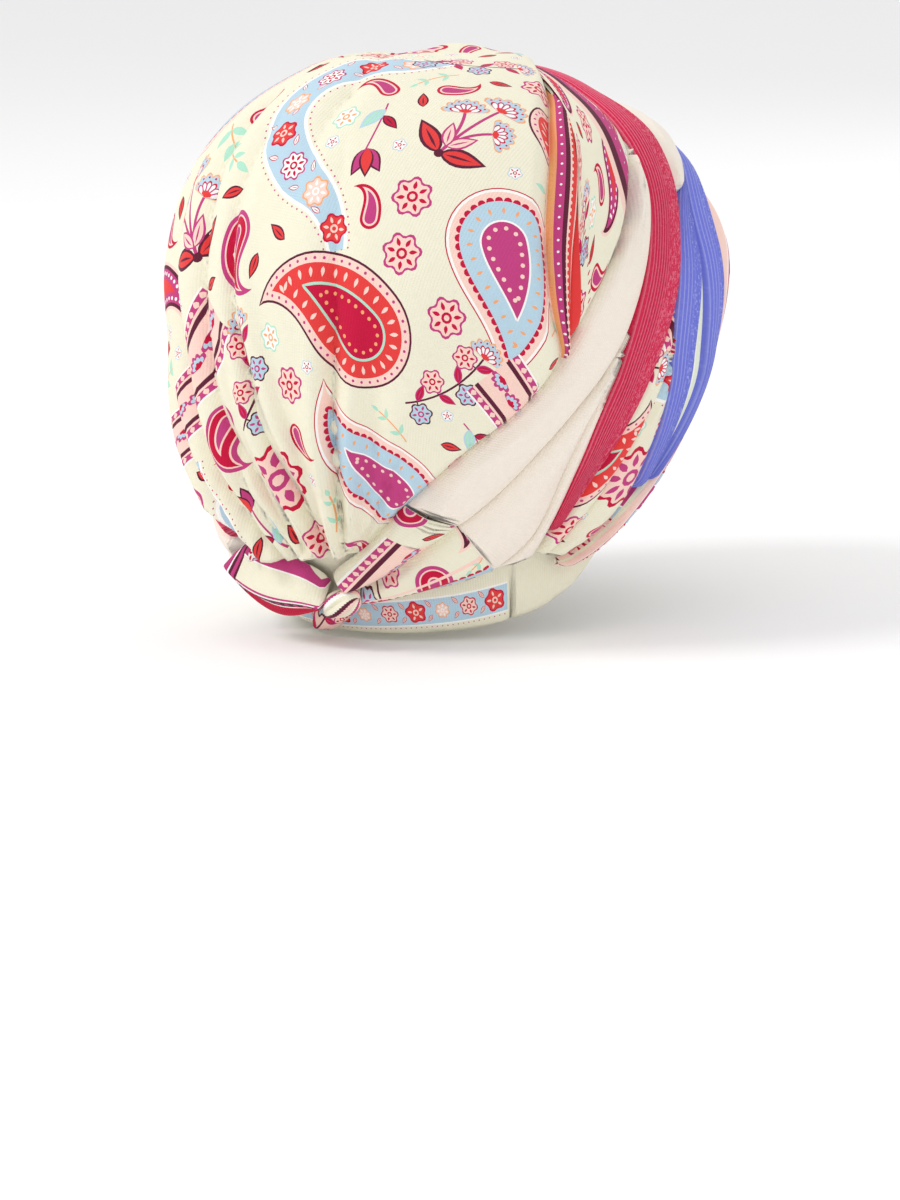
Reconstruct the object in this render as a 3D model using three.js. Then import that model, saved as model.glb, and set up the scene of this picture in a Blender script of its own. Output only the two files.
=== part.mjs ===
// A jersey turban headwrap: a gathered printed bag over a hem band, wrapped with plain, printed
// and ribbed glitter folds that meet in a knot at the nape.
// Millimetres, +Z up, the face looks along -Y and the wearer's right is -X.
// The origin is the middle of the head at the girth line, where a head holds the wrap.
//
// Every piece is laid on one outer form. A direction on the form is given by two angles on a
// unit ball: "around" is 0 at the forehead, 90 at the right ear, 180 at the nape and negative on
// the left; "up" is 90 at the top. The ball is then stretched to the named sizes below.

import * as THREE from "three";
import { mergeVertices } from "three/addons/utils/BufferGeometryUtils.js";

// Driving sizes, mm
const HALF_WIDTH = 82;        // middle of the head to the side of the wrap, at the girth
const FRONT_REACH = 96;       // middle of the head to the forehead
const BACK_REACH = 113;       // middle of the head to the back of the bag
const RISE = 109.5;           // girth line to the top of the bag
const DROP = 98;              // girth line to the hem at the nape
const WRAP_DEPTH = 7;         // how far the bag is pressed in under the wrapped folds
const BAG_WALL = 2;           // bag of doubled jersey
const BAG_PUFF = 2;           // how far the loose bag stands out between its folds
const FOLD_WALL = 1.5;        // one wrapped fold of jersey or ribbon
const HEM_WALL = 2;           // hem band, folded double
const GAP = 0.4;              // clearance between neighbouring pieces
const HEM_GAP = 0.9;          // clearance between the bag and the hem band inside it
const EDGE_ROLL = 10;         // width over which the bag rolls in at the edge of the wrap
const EDGE_MARGIN = 7;        // the bag is fully pressed in this far before the first fold
const GATHER_SIDE = 27;       // the nape gather sits this far to the right of the middle
const GATHER_HALF = 32;       // half the length of the nape gather line
const FRONT_GATHER_HALF = 30; // half the length of the gather line over the forehead
const KNOT_WIDTH = 15;
const KNOT_HEIGHT = 11;
const KNOT_DEPTH = 11;

// Mesh steps
const BAG_STEPS_ACROSS = 54;
const BAG_STEPS_ALONG = 25;
const HEM_STEPS = 40;
const ROW_STEPS = 1.35;       // steps to one row of the crease table
const TIE_STEPS = 2;          // steps to one row of a tie
const KNOT_STEPS_ROUND = 18;
const KNOT_STEPS_ALONG = 12;

const degrees = Math.PI / 180;

// Outer form: radius shares of the stretched ball at the side, forehead and nape
const FORM = {
  up: [-60, -40, -20, 0, 20, 40, 60, 80, 90],
  side: [1.165, 1.072, 1.002, 1.028, 1.106, 1.096, 1.024, 0.978, 1],
  front: [0.801, 0.823, 0.864, 0.974, 1.081, 1.039, 0.956, 0.963, 1],
  back: [1.143, 1.086, 1.006, 0.985, 1.054, 1.11, 1.075, 0.975, 1],
};

// Where the wrap covers the bag: the "around" angle of its rear edge at each "up" angle
const WRAP_EDGE = {
  up: [-38, -31, -24.8, -20, -13.2, -3.8, 5.6, 12.5, 21.4, 30.6, 39.6, 49.1, 63.3, 72, 81, 90],
  right: [150, 142, 133, 127.5, 120, 108.6, 102.5, 105, 105.7, 104, 100.8, 97, 81, 60, 0, -70],
  left: [182, 172, 158, 145, 128, 110, 103, 105, 105.7, 104, 100.8, 97, 81, 60, 0, -70],
};

// Valleys of the bag, from the nape gather upwards: "at" is the angle of the fold's plane, with
// 0 over the top, positive on the right; "reach" is how far up and over it runs, as a share of
// the way to the forehead; depth in mm and width in degrees are those near the gather
const BAG_VALLEYS = [
  { at: 52, depth: 2.5, width: 6, reach: 0.3 },
  { at: 24, depth: 4.5, width: 6, reach: 0.36 },
  { at: 2, depth: 6.0, width: 6, reach: 0.55 },
  { at: -17, depth: 4.0, width: 6, reach: 0.72 },
  { at: -34, depth: 6.0, width: 6, reach: 0.8 },
  { at: -52, depth: 4.5, width: 6, reach: 0.84 },
  { at: -70, depth: 4.5, width: 6, reach: 0.84 },
  { at: -88, depth: 3.5, width: 6, reach: 0.6 },
];

// Creases between the wrapped folds on one side, each as [around, up] in 13 rows that run from
// the middle of the forehead, over the top and down past the ear to the nape
const CREASES = {
  panel: [[0, 81], [80.9, 63.3], [97, 49.1], [100.8, 39.6], [104.1, 30.6], [105.7, 21.4],
    [105, 12.5], [102.3, 5.6], [100, -2]],
  pleat: [[0, 80.7], [73, 62.2], [90.4, 48.1], [94.1, 38.4], [97.4, 29.8], [100.8, 21.1],
    [101.5, 12.3], [101.2, 5.4], [99.5, -2]],
  plainRear: [[0, 80.4], [66.2, 60.5], [75.6, 44.2], [77.9, 36.7], [83.6, 28.4], [91.7, 19.7],
    [97.9, 11.5], [100.1, 5.1], [108.6, -3.8], [119.9, -13.2], [129.5, -21.7], [132, -23.6],
    [133.2, -24.8]],
  plainMiddle: [[0, 80.4], [66.2, 60.5], [75.6, 44.2], [74.9, 36.4], [78.2, 27.7], [82.9, 19.5],
    [87.2, 10.5], [91, 3.3], [98, -4.7], [105.3, -14.3], [113.5, -23.5], [118.5, -27],
    [122.4, -29.6]],
  plainSide: [[0, 80.4], [66.2, 60.5], [75.6, 44.2], [74.9, 36.4], [78.2, 27.7], [82.9, 19.5],
    [86.7, 10.5], [89.8, 3.2], [94.7, -5.3], [98.3, -15], [101, -24.6], [104.5, -33.5],
    [113.9, -40]],
  redRear: [[0, 80.4], [66.2, 60.5], [75.6, 44.2], [74.9, 36.4], [78.2, 27.7], [82.9, 19.5],
    [86.7, 10.5], [89, 2.9], [93, -5.9], [95.3, -15.1], [98.3, -24.9], [102.1, -32.7],
    [104.9, -37.8]],
  redFront: [[0, 66], [44, 57.5], [58, 43], [62.4, 35.5], [67.5, 28.1], [73.6, 19.1], [76, 9.3],
    [80.1, 1.6], [84.7, -6.8], [90.4, -15.9], [96.1, -25.2], [101.1, -32.4], [104, -37.6]],
  printMiddle: [[0, 66], [44, 57.5], [58, 43], [62.4, 35.5], [67.5, 28.1], [73.6, 19.1],
    [75.3, 9.3], [74.2, 0.5], [78.4, -6.7], [84.1, -17.6], [89.9, -26.1], [96.3, -32.7],
    [102.4, -37.6]],
  blueRear: [[0, 50], [22, 46], [39.4, 38.8], [53.5, 34.2], [67, 28], [73.4, 19.1], [74.5, 9.2],
    [73.1, 0.2], [72.9, -7.8], [73.5, -17.9], [76.3, -26.1], [87.8, -33.4], [98.5, -39]],
  paleRear: [[0, 50], [22, 46], [39.4, 38.8], [53.5, 34.2], [62.8, 27.6], [64.5, 18.1],
    [64.6, 7.9], [63.1, -1.6], [64, -8.9], [67.3, -19], [75.8, -26.4], [87, -33.8], [98, -39.5]],
  paleFront: [[0, 50], [22, 46], [39.4, 38.8], [53.5, 34.2], [62.6, 27.6], [63.6, 17.6],
    [59, 7.4], [52.7, -3.2], [52.5, -10.6], [62.8, -19.1], [75.4, -26.6], [86.5, -34],
    [97.8, -40]],
  blueFront: [[0, 40], [17, 36.5], [26.6, 33.8], [41, 31.5], [49.5, 26.1], [52.9, 17.1],
    [46, 6.5], [45.4, -4], [48, -10.2], [59.5, -18.8], [75, -26.8], [86, -34.3], [97.7, -40.4]],
  wrapLow: [[0, 8], [9, 7.5], [18, 6.5], [25, 5], [31, 3], [36, 0], [40, -3.5], [44, -8],
    [47.5, -13.8], [51.9, -19], [69.1, -28.9], [83.7, -35.5], [97.6, -41.4]],
};

// Wrapped folds: the two creases each lies between, the rows it starts and ends at (a fold that
// crosses the forehead runs from the left end to the right one), and the heights of its rear
// edge, middle and front edge as shares of the wrap depth
const FOLDS = [
  { name: "print_pleat_rear", between: ["panel", "pleat"], from: 0.85, to: 6.9,
    rear: 0.4, middle: 0.75, front: 0.55, cloth: "printCoral" },
  { name: "print_pleat_front", between: ["pleat", "plainRear"], from: 0.6, to: 6.9,
    rear: 0.45, middle: 1.0, front: 0.7, cloth: "printMagenta" },
  { name: "plain_fold_upper", between: ["plainRear", "plainMiddle"], from: 2.5, to: 12,
    rear: 0.55, middle: 1.05, front: 0.55, cloth: "plain" },
  { name: "plain_fold_lower", between: ["plainMiddle", "plainSide"], from: 6.4, to: 12,
    rear: 0.4, middle: 1.0, front: 0.5, cloth: "plain" },
  { name: "plain_fold_side", between: ["plainSide", "redRear"], from: 7.3, to: 12,
    rear: 0.4, middle: 0.65, front: 0.4, cloth: "plain" },
  { name: "red_band", between: ["redRear", "redFront"], to: 10.95, crosses: true,
    rear: 0.75, middle: 0.98, front: 0.85, cloth: "red" },
  { name: "plain_fold_front", between: ["redFront", "blueRear"], to: 3.6, crosses: true,
    rear: 0.5, middle: 1.1, front: 0.6, cloth: "plain" },
  { name: "print_fold_upper", between: ["redFront", "printMiddle"], from: 6.5, to: 11.9,
    rear: 0.4, middle: 0.85, front: 0.5, cloth: "print" },
  { name: "print_fold_lower", between: ["printMiddle", "blueRear"], from: 7.6, to: 11.8,
    rear: 0.4, middle: 0.8, front: 0.4, cloth: "print" },
  { name: "blue_band_rear", between: ["blueRear", "paleRear"], from: 3.5, to: 9.85,
    rear: 0.7, middle: 0.85, front: 0.75, cloth: "blue" },
  { name: "pale_strip", between: ["paleRear", "paleFront"], from: 5.4, to: 9.6,
    rear: 0.4, middle: 0.55, front: 0.4, cloth: "pale" },
  { name: "blue_band_front", between: ["paleFront", "blueFront"], to: 9.75, crosses: true,
    rear: 0.8, middle: 0.95, front: 0.85, cloth: "blue" },
  { name: "front_print_fold", between: ["blueFront", "wrapLow"], to: 11.9, crosses: true,
    rear: 0.5, middle: 0.95, front: 0.4, cloth: "print" },
];

// Ties and tails round the nape, each row [around, up] of the upper edge, then of the lower
// edge; heights as above, and thick as shares of the fold's wall
const TIES = [
  { name: "tie_end", cloth: "print", rear: 0.6, middle: 1.15, front: 0.7, thick: 1,
    rows: [[122.6, -29.9, 114.1, -40.2], [131.5, -35.6, 127, -43.3], [140.6, -41.4, 138, -44.4],
      [147.6, -43.2, 147.3, -45.7]] },
  { name: "tie_strip", cloth: "printCoral", rear: 0.9, middle: 1.2, front: 0.9, thick: 1,
    rows: [[133.9, -25.5, 123.2, -29.7], [141, -33.5, 131.8, -34.8], [150, -38.2, 141.2, -40.6],
      [154.5, -41.2, 148.2, -42.4]] },
  { name: "red_tail", cloth: "red", rear: 0.5, middle: 0.75, front: 0.6, thick: 1,
    rows: [[-133.6, -25.2, -129.2, -27.4], [-144, -25, -143, -29.2], [-155, -25.8, -155, -30.4],
      [-167, -30.3, -167, -34.5]] },
  { name: "plain_tail_upper", cloth: "plain", rear: 0.5, middle: 0.9, front: 0.5, thick: 1,
    rows: [[-129.2, -27.4, -119.4, -34], [-143, -29.2, -138, -36.2], [-155, -30.4, -153.5, -37.8],
      [-167, -34.5, -166.5, -39.8]] },
  { name: "plain_tail_lower", cloth: "plain", rear: 0.6, middle: 1.15, front: 0.6, thick: 1,
    rows: [[-119.4, -34, -114.1, -40.2], [-138, -36.2, -133, -44.5], [-153.5, -37.8, -151, -46],
      [-166.5, -39.8, -166, -46]] },
  { name: "tie_loop", cloth: "print", rear: 0.7, middle: 1.75, front: 0.8, thick: 2,
    rows: [[189.5, -35, 191, -43], [181, -37.4, 185.5, -49.5], [171.5, -38.5, 175.5, -51.3],
      [163.5, -39.8, 166, -48.8], [159.6, -42.3, 161, -46.8]] },
  { name: "tie_tail", cloth: "printCoral", rear: 0.8, middle: 0.9, front: 0.7, thick: 1,
    rows: [[173, -52.2, 172, -55.4], [168, -51.4, 167, -55.6], [163.2, -49.8, 162, -53.4],
      [154.5, -47.6, 154.1, -49.8]] },
];

// Knot: where it sits and how far it stands out of the form, as a share of its depth
const KNOT = { around: 153.8, up: -45, stand: 0.05, grooves: 5, grooveShare: 0.1 };

// Hem band: "up" angles of the lower and upper edge round the head, and how deep the lower edge
// lies below the outer form, as a share of the depth of the upper one
const HEM = {
  around: [0, 46, 58, 71, 88, 102, 129, 166, 180],
  low: [-5, -17, -24, -33, -46, -52, -56, -58, -58],
  high: [9, -7, -12, -20, -25, -27, -28, -30, -30],
  depth: [1, 1, 0.98, 0.85, 0.6, 0.45, 0.4, 0.4, 0.4],
};

const CLOTHS = {
  bag: { color: 0xece8d2, roughness: 0.9 },
  hem: { color: 0xddd3bf, roughness: 0.9 },
  plain: { color: 0xede3d3, roughness: 0.9 },
  print: { color: 0xf2dccb, roughness: 0.9 },
  printCoral: { color: 0xe58a84, roughness: 0.9 },
  printMagenta: { color: 0xd79ab8, roughness: 0.9 },
  red: { color: 0xc21e45, roughness: 0.5 },
  blue: { color: 0x7a80d8, roughness: 0.6 },
  pale: { color: 0xe4eada, roughness: 0.7 },
};

// Monotone cubic through a table of rising x values
function tableCurve(xs, ys) {
  const count = xs.length;
  const steps = [];
  for (let i = 0; i + 1 < count; i++) steps.push((ys[i + 1] - ys[i]) / (xs[i + 1] - xs[i]));
  const slopes = ys.map((_, i) => {
    if (i === 0 || i === count - 1) return 0;
    const before = steps[i - 1];
    const after = steps[i];
    return before * after <= 0 ? 0 : (2 * before * after) / (before + after);
  });
  return (x) => {
    const inside = Math.min(Math.max(x, xs[0]), xs[count - 1]);
    let i = 0;
    while (i + 2 < count && inside > xs[i + 1]) i++;
    const span = xs[i + 1] - xs[i];
    const t = (inside - xs[i]) / span;
    const rise = ys[i + 1] - ys[i];
    const bend = t * (1 - t);
    return ys[i] + rise * (3 - 2 * t) * t * t
      + span * bend * ((1 - t) * slopes[i] - t * slopes[i + 1]);
  };
}

function smoothStep(x) {
  const t = Math.min(Math.max(x, 0), 1);
  return t * t * (3 - 2 * t);
}

function ballDirection(around, up) {
  const flat = Math.cos(up * degrees);
  return new THREE.Vector3(
    -Math.sin(around * degrees) * flat,
    -Math.cos(around * degrees) * flat,
    Math.sin(up * degrees),
  );
}

function angles(ball) {
  const unit = ball.clone().normalize();
  return {
    around: Math.atan2(-unit.x, -unit.y) / degrees,
    up: Math.asin(unit.z) / degrees,
  };
}

const sideShare = tableCurve(FORM.up, FORM.side);
const frontShare = tableCurve(FORM.up, FORM.front);
const backShare = tableCurve(FORM.up, FORM.back);

function formShare(ball) {
  const { around, up } = angles(ball);
  const ahead = Math.cos(around * degrees);
  const aside = Math.sin(around * degrees);
  const lengthwise = ahead > 0 ? frontShare(up) : backShare(up);
  return 1 / Math.hypot(ahead / lengthwise, aside / sideShare(up));
}

function stretch(ball) {
  return new THREE.Vector3(
    ball.x * HALF_WIDTH,
    ball.y * (ball.y < 0 ? FRONT_REACH : BACK_REACH),
    ball.z * (ball.z < 0 ? DROP : RISE),
  );
}

function formPoint(ball) {
  const unit = ball.clone().normalize();
  return stretch(unit.multiplyScalar(formShare(unit)));
}

// Outward normal of the form, from two short steps along it
function formNormal(ball) {
  const step = 0.01;
  const unit = ball.clone().normalize();
  const helper = Math.abs(unit.z) < 0.9 ? new THREE.Vector3(0, 0, 1) : new THREE.Vector3(1, 0, 0);
  const a = new THREE.Vector3().crossVectors(helper, unit).normalize().multiplyScalar(step);
  const b = new THREE.Vector3().crossVectors(unit, a);
  const alongA = formPoint(unit.clone().add(a)).sub(formPoint(unit.clone().sub(a)));
  const alongB = formPoint(unit.clone().add(b)).sub(formPoint(unit.clone().sub(b)));
  return alongA.cross(alongB).normalize();
}

function skin(ball, height) {
  return formPoint(ball).addScaledVector(formNormal(ball), height);
}

// Uniform B-spline through rows of vectors, so that ordered creases never cross
function splineRows(rows, at) {
  const last = rows.length - 1;
  const row = (i) => {
    if (i < 0) return rows[0].clone().multiplyScalar(2).sub(rows[Math.min(1, last)]);
    if (i > last) return rows[last].clone().multiplyScalar(2).sub(rows[Math.max(last - 1, 0)]);
    return rows[i];
  };
  const i = Math.min(Math.max(Math.floor(at), 0), last - 1);
  const t = at - i;
  const weights = [
    (1 - t) ** 3,
    3 * t ** 3 - 6 * t ** 2 + 4,
    -3 * t ** 3 + 3 * t ** 2 + 3 * t + 1,
    t ** 3,
  ];
  const sum = new THREE.Vector3();
  weights.forEach((weight, k) => sum.addScaledVector(row(i - 1 + k), weight / 6));
  return sum.normalize();
}

// A crease as rows of ball vectors from the left end to the right one, and its row of row 0
function creaseLine(name) {
  const right = CREASES[name].map(([around, up]) => ballDirection(around, up));
  const left = CREASES[name].slice(1).map(([around, up]) => ballDirection(-around, up)).reverse();
  return { rows: [...left, ...right], middle: left.length };
}

const creaseLines = {};
for (const name of Object.keys(CREASES)) creaseLines[name] = creaseLine(name);

function creaseAt(name, row) {
  const line = creaseLines[name];
  return splineRows(line.rows, line.middle + row);
}

// Triangles of an end cap, between the outer chain of a section and the inner chain coming back
function capTriangles(outerCount, innerCount) {
  const triangles = [];
  const inner = (j) => outerCount + innerCount - 1 - j;
  let i = 0;
  let j = 0;
  while (i < outerCount - 1 || j < innerCount - 1) {
    const outerNext = (i + 1) / (outerCount - 1);
    const innerNext = (j + 1) / (innerCount - 1);
    if (j === innerCount - 1 || (i < outerCount - 1 && outerNext <= innerNext)) {
      triangles.push([i, i + 1, inner(j)]);
      i++;
    } else {
      triangles.push([i, inner(j + 1), inner(j)]);
      j++;
    }
  }
  return triangles;
}

// Closed solid through a list of sections with the same points: outerCount of them run along
// the outer face and the rest come back along the inner one; open lists get end caps
function loft(sections, outerCount, closed) {
  const size = sections[0].length;
  const positions = [];
  sections.forEach((section) => section.forEach((p) => positions.push(p.x, p.y, p.z)));
  const indices = [];
  const loops = closed ? sections.length : sections.length - 1;
  for (let i = 0; i < loops; i++) {
    const here = i * size;
    const next = ((i + 1) % sections.length) * size;
    for (let k = 0; k < size; k++) {
      const side = (k + 1) % size;
      indices.push(here + k, next + k, next + side);
      indices.push(here + k, next + side, here + side);
    }
  }
  if (!closed) {
    const end = (sections.length - 1) * size;
    for (const [a, b, c] of capTriangles(outerCount, size - outerCount)) {
      indices.push(a, b, c);
      indices.push(end + a, end + c, end + b);
    }
  }
  const geometry = new THREE.BufferGeometry();
  geometry.setAttribute("position", new THREE.Float32BufferAttribute(positions, 3));
  geometry.setIndex(indices);
  return facingOut(geometry);
}

// Turns the faces over where the signed volume is negative, and adds normals
function facingOut(geometry) {
  const position = geometry.attributes.position;
  const index = geometry.index.array;
  const corner = (k) => new THREE.Vector3().fromBufferAttribute(position, index[k]);
  let volume = 0;
  for (let k = 0; k < index.length; k += 3) {
    volume += corner(k).dot(corner(k + 1).cross(corner(k + 2)));
  }
  if (volume < 0) {
    for (let k = 0; k < index.length; k += 3) {
      [index[k + 1], index[k + 2]] = [index[k + 2], index[k + 1]];
    }
  }
  geometry.computeVertexNormals();
  return geometry;
}

// Section of a fold: shares across it, on the outer face and back along the inner face
const OUTER_ACROSS = [0, 0.15, 0.5, 0.85, 1];
const INNER_ACROSS = [0.92, 0.5, 0.08];
const EDGE_SHARE = 0.4;    // thickness left at the very edge, as a share of the fold's own
const LARGEST_INSET = 0.3; // the gap takes at most this share of a fold that runs to a point

function foldHeights(fold, thickness) {
  const rise = (across) => {
    const edge = fold.rear + (fold.front - fold.rear) * across;
    const edgeMean = (fold.rear + fold.front) / 2;
    return (edge + (fold.middle - edgeMean) * 4 * across * (1 - across)) * WRAP_DEPTH;
  };
  const outer = OUTER_ACROSS.map((across) => {
    const atEdge = across === 0 || across === 1;
    const height = atEdge ? Math.max(rise(across) - FOLD_WALL, 0) : rise(across);
    return Math.max(height, GAP + (atEdge ? thickness * EDGE_SHARE : thickness));
  });
  const inner = INNER_ACROSS.map((across) => Math.max(rise(across) - thickness, GAP));
  return [...outer, ...inner];
}

function foldSolid(fold, edges, stations, thickness) {
  const across = [...OUTER_ACROSS, ...INNER_ACROSS];
  const heights = foldHeights(fold, thickness);
  const sections = stations.map((station) => {
    const [rear, front] = edges(station);
    const width = formPoint(rear).distanceTo(formPoint(front));
    const inset = Math.min(GAP / 2 / width, LARGEST_INSET);
    return across.map((share, k) => {
      const inside = inset + (1 - 2 * inset) * share;
      const ball = rear.clone().lerp(front, inside);
      return skin(ball, heights[k] - WRAP_DEPTH);
    });
  });
  return loft(sections, OUTER_ACROSS.length, false);
}

function evenly(from, to, steps) {
  return Array.from({ length: steps + 1 }, (_, i) => from + ((to - from) * i) / steps);
}

// How far the bag is pressed in at a ball direction: 1 under the wrap, 0 in the open
const wrapEdgeRight = tableCurve(WRAP_EDGE.up, WRAP_EDGE.right);
const wrapEdgeLeft = tableCurve(WRAP_EDGE.up, WRAP_EDGE.left);

function underWrap(ball) {
  const { around, up } = angles(ball);
  const edge = around < 0 ? wrapEdgeLeft(up) : wrapEdgeRight(up);
  const arc = (edge - Math.abs(around)) * degrees * Math.cos(up * degrees) * HALF_WIDTH;
  return smoothStep((arc + EDGE_MARGIN + EDGE_ROLL) / EDGE_ROLL);
}

// The bag hangs on planes that fan about the line from the nape gather to the forehead
const NAPE_END = ballDirection(180, -40.5);
const FOREHEAD_END = ballDirection(0, 5);
const BAG_SPREAD = 107;  // degrees of planes on either side of the top
const TURN_IN = 0.07;    // share of the way along in which the bag turns in under the gather
const FOLD_START = 0.06; // share of the way along in which a valley gets its full depth
const FOLD_AT_GATHER = 0.4; // how far a valley has formed at the gather itself
const BAG_END = 0.004;   // the bag stops this share short of the ends of its planes
const BALL_REACH = 3;    // longer than any ray inside the unit ball
const HALVINGS = 40;

function bagBall(plane, along) {
  const axis = FOREHEAD_END.clone().sub(NAPE_END).normalize();
  const upward = new THREE.Vector3(-1, 0, 0).cross(axis).normalize();
  const sway = Math.sin(plane * degrees);
  const lift = Math.cos(plane * degrees);
  const fan = new THREE.Vector3(-sway, 0, 0).addScaledVector(upward, lift);
  const turn = along * Math.PI;
  const ray = axis.multiplyScalar(-Math.cos(turn)).addScaledVector(fan, Math.sin(turn));
  const toNape = ((1 + Math.cos(turn)) / 2) ** 2;
  const toFront = ((1 - Math.cos(turn)) / 2) ** 2;
  const share = plane / BAG_SPREAD;
  const aside = (GATHER_SIDE + GATHER_HALF * share) * toNape + FRONT_GATHER_HALF * share * toFront;
  const start = NAPE_END.clone().add(FOREHEAD_END).multiplyScalar(0.5);
  start.x -= aside / HALF_WIDTH;
  let near = 0;
  let far = BALL_REACH;
  for (let i = 0; i < HALVINGS; i++) {
    const reach = (near + far) / 2;
    const point = start.clone().addScaledVector(ray, reach);
    if (point.length() < formShare(point)) near = reach;
    else far = reach;
  }
  return start.addScaledVector(ray, near).normalize();
}

function bagHeight(ball, plane, along) {
  const pressed = underWrap(ball);
  const turnedIn = smoothStep(1 - along / TURN_IN);
  let folds = BAG_PUFF * Math.sin(along * Math.PI);
  for (const valley of BAG_VALLEYS) {
    const formed = smoothStep(along / FOLD_START + FOLD_AT_GATHER);
    const fade = formed * smoothStep((valley.reach - along) / valley.reach);
    folds -= valley.depth * fade * Math.exp(-(((plane - valley.at) / valley.width) ** 2));
  }
  return -WRAP_DEPTH * Math.max(pressed, turnedIn) + folds * (1 - pressed) * (1 - turnedIn);
}

function bagSolid() {
  const planes = evenly(-BAG_SPREAD, BAG_SPREAD, BAG_STEPS_ACROSS);
  const alongs = evenly(BAG_END, 1 - BAG_END, BAG_STEPS_ALONG);
  const sections = alongs.map((along) => {
    const balls = planes.map((plane) => bagBall(plane, along));
    const outer = balls.map((ball, k) => skin(ball, bagHeight(ball, planes[k], along)));
    const inner = balls.map((ball, k) => skin(ball, bagHeight(ball, planes[k], along) - BAG_WALL));
    return [...outer, ...inner.reverse()];
  });
  return loft(sections, planes.length, false);
}

// The hem band stands inside the bag's edge and comes out to the open edge below it
const HEM_ACROSS = [0, 0.25, 0.5, 1]; // shares of the way from the lower edge to the upper one
const HEM_FLARE = 0.5;                // share of that way in which it comes out

function hemSolid() {
  const lowUp = tableCurve(HEM.around, HEM.low);
  const highUp = tableCurve(HEM.around, HEM.high);
  const lowDepth = tableCurve(HEM.around, HEM.depth);
  const under = WRAP_DEPTH + BAG_WALL + HEM_GAP;
  const sections = evenly(0, 360, HEM_STEPS).slice(0, HEM_STEPS).map((turn) => {
    const around = turn > 180 ? turn - 360 : turn;
    const low = lowUp(Math.abs(around));
    const high = highUp(Math.abs(around));
    const depthShare = lowDepth(Math.abs(around));
    const face = HEM_ACROSS.map((share) => ({
      ball: ballDirection(around, low + (high - low) * share),
      depth: under * (depthShare + (1 - depthShare) * smoothStep(share / HEM_FLARE)),
    }));
    return [
      ...face.map(({ ball, depth }) => skin(ball, -depth)),
      ...face.reverse().map(({ ball, depth }) => skin(ball, -depth - HEM_WALL)),
    ];
  });
  return loft(sections, sections[0].length / 2, true);
}

function knotSolid() {
  const ball = new THREE.SphereGeometry(0.5, KNOT_STEPS_ROUND, KNOT_STEPS_ALONG);
  ball.deleteAttribute("normal");
  ball.deleteAttribute("uv");
  const geometry = mergeVertices(ball);
  const position = geometry.attributes.position;
  for (let i = 0; i < position.count; i++) {
    const p = new THREE.Vector3().fromBufferAttribute(position, i);
    const turn = Math.atan2(p.y, p.z);
    const groove = 1 - KNOT.grooveShare * (1 - Math.abs(Math.cos((turn * KNOT.grooves) / 2)));
    position.setXYZ(i, p.x * KNOT_WIDTH, p.y * KNOT_DEPTH * groove, p.z * KNOT_HEIGHT * groove);
  }
  const seat = ballDirection(KNOT.around, KNOT.up);
  const outward = formNormal(seat);
  const sideways = new THREE.Vector3(0, 0, 1).cross(outward).normalize();
  const upward = outward.clone().cross(sideways);
  const frame = new THREE.Matrix4().makeBasis(sideways, outward.clone().negate(), upward);
  frame.setPosition(skin(seat, KNOT_DEPTH * KNOT.stand));
  geometry.applyMatrix4(frame);
  return facingOut(geometry);
}

const turban = new THREE.Group();

function addPiece(name, geometry, cloth) {
  const material = new THREE.MeshStandardMaterial({ ...CLOTHS[cloth], metalness: 0 });
  const piece = new THREE.Mesh(geometry, material);
  piece.name = name;
  turban.add(piece);
}

addPiece("crown_bag", bagSolid(), "bag");
addPiece("hem_band", hemSolid(), "hem");

for (const fold of FOLDS) {
  const edges = (row) => fold.between.map((crease) => creaseAt(crease, row));
  if (fold.crosses) {
    const stations = evenly(-fold.to, fold.to, Math.ceil(fold.to * 2 * ROW_STEPS));
    addPiece(fold.name, foldSolid(fold, edges, stations, FOLD_WALL), fold.cloth);
    continue;
  }
  const steps = Math.ceil((fold.to - fold.from) * ROW_STEPS);
  const right = evenly(fold.from, fold.to, steps);
  const left = evenly(-fold.from, -fold.to, steps);
  addPiece(`${fold.name}_right`, foldSolid(fold, edges, right, FOLD_WALL), fold.cloth);
  addPiece(`${fold.name}_left`, foldSolid(fold, edges, left, FOLD_WALL), fold.cloth);
}

for (const tie of TIES) {
  const upper = tie.rows.map(([around, up]) => ballDirection(around, up));
  const lower = tie.rows.map((row) => ballDirection(row[2], row[3]));
  const edges = (row) => [splineRows(upper, row), splineRows(lower, row)];
  const last = tie.rows.length - 1;
  const stations = evenly(0, last, Math.ceil(last * TIE_STEPS));
  addPiece(tie.name, foldSolid(tie, edges, stations, FOLD_WALL * tie.thick), tie.cloth);
}

addPiece("knot", knotSolid(), "printCoral");

export default turban;
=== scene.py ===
"""Looks of a printed jersey turban headwrap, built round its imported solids.

Everything is in metres and in the part's own frame: +Z up, the front looks along -Y, the right
side is -X, and the origin is the middle of the hollow at the girth line. Lengths in the tables
are millimetres. Every piece of cloth is laid on one outer form, on which a direction is given by
two angles on a unit ball: "around" is 0 at the front, 90 at the right, 180 at the back and
negative on the left; "up" is 90 at the top.
"""

import math
from types import SimpleNamespace

import bpy
import numpy as np
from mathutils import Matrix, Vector
from mathutils.geometry import delaunay_2d_cdt


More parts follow.
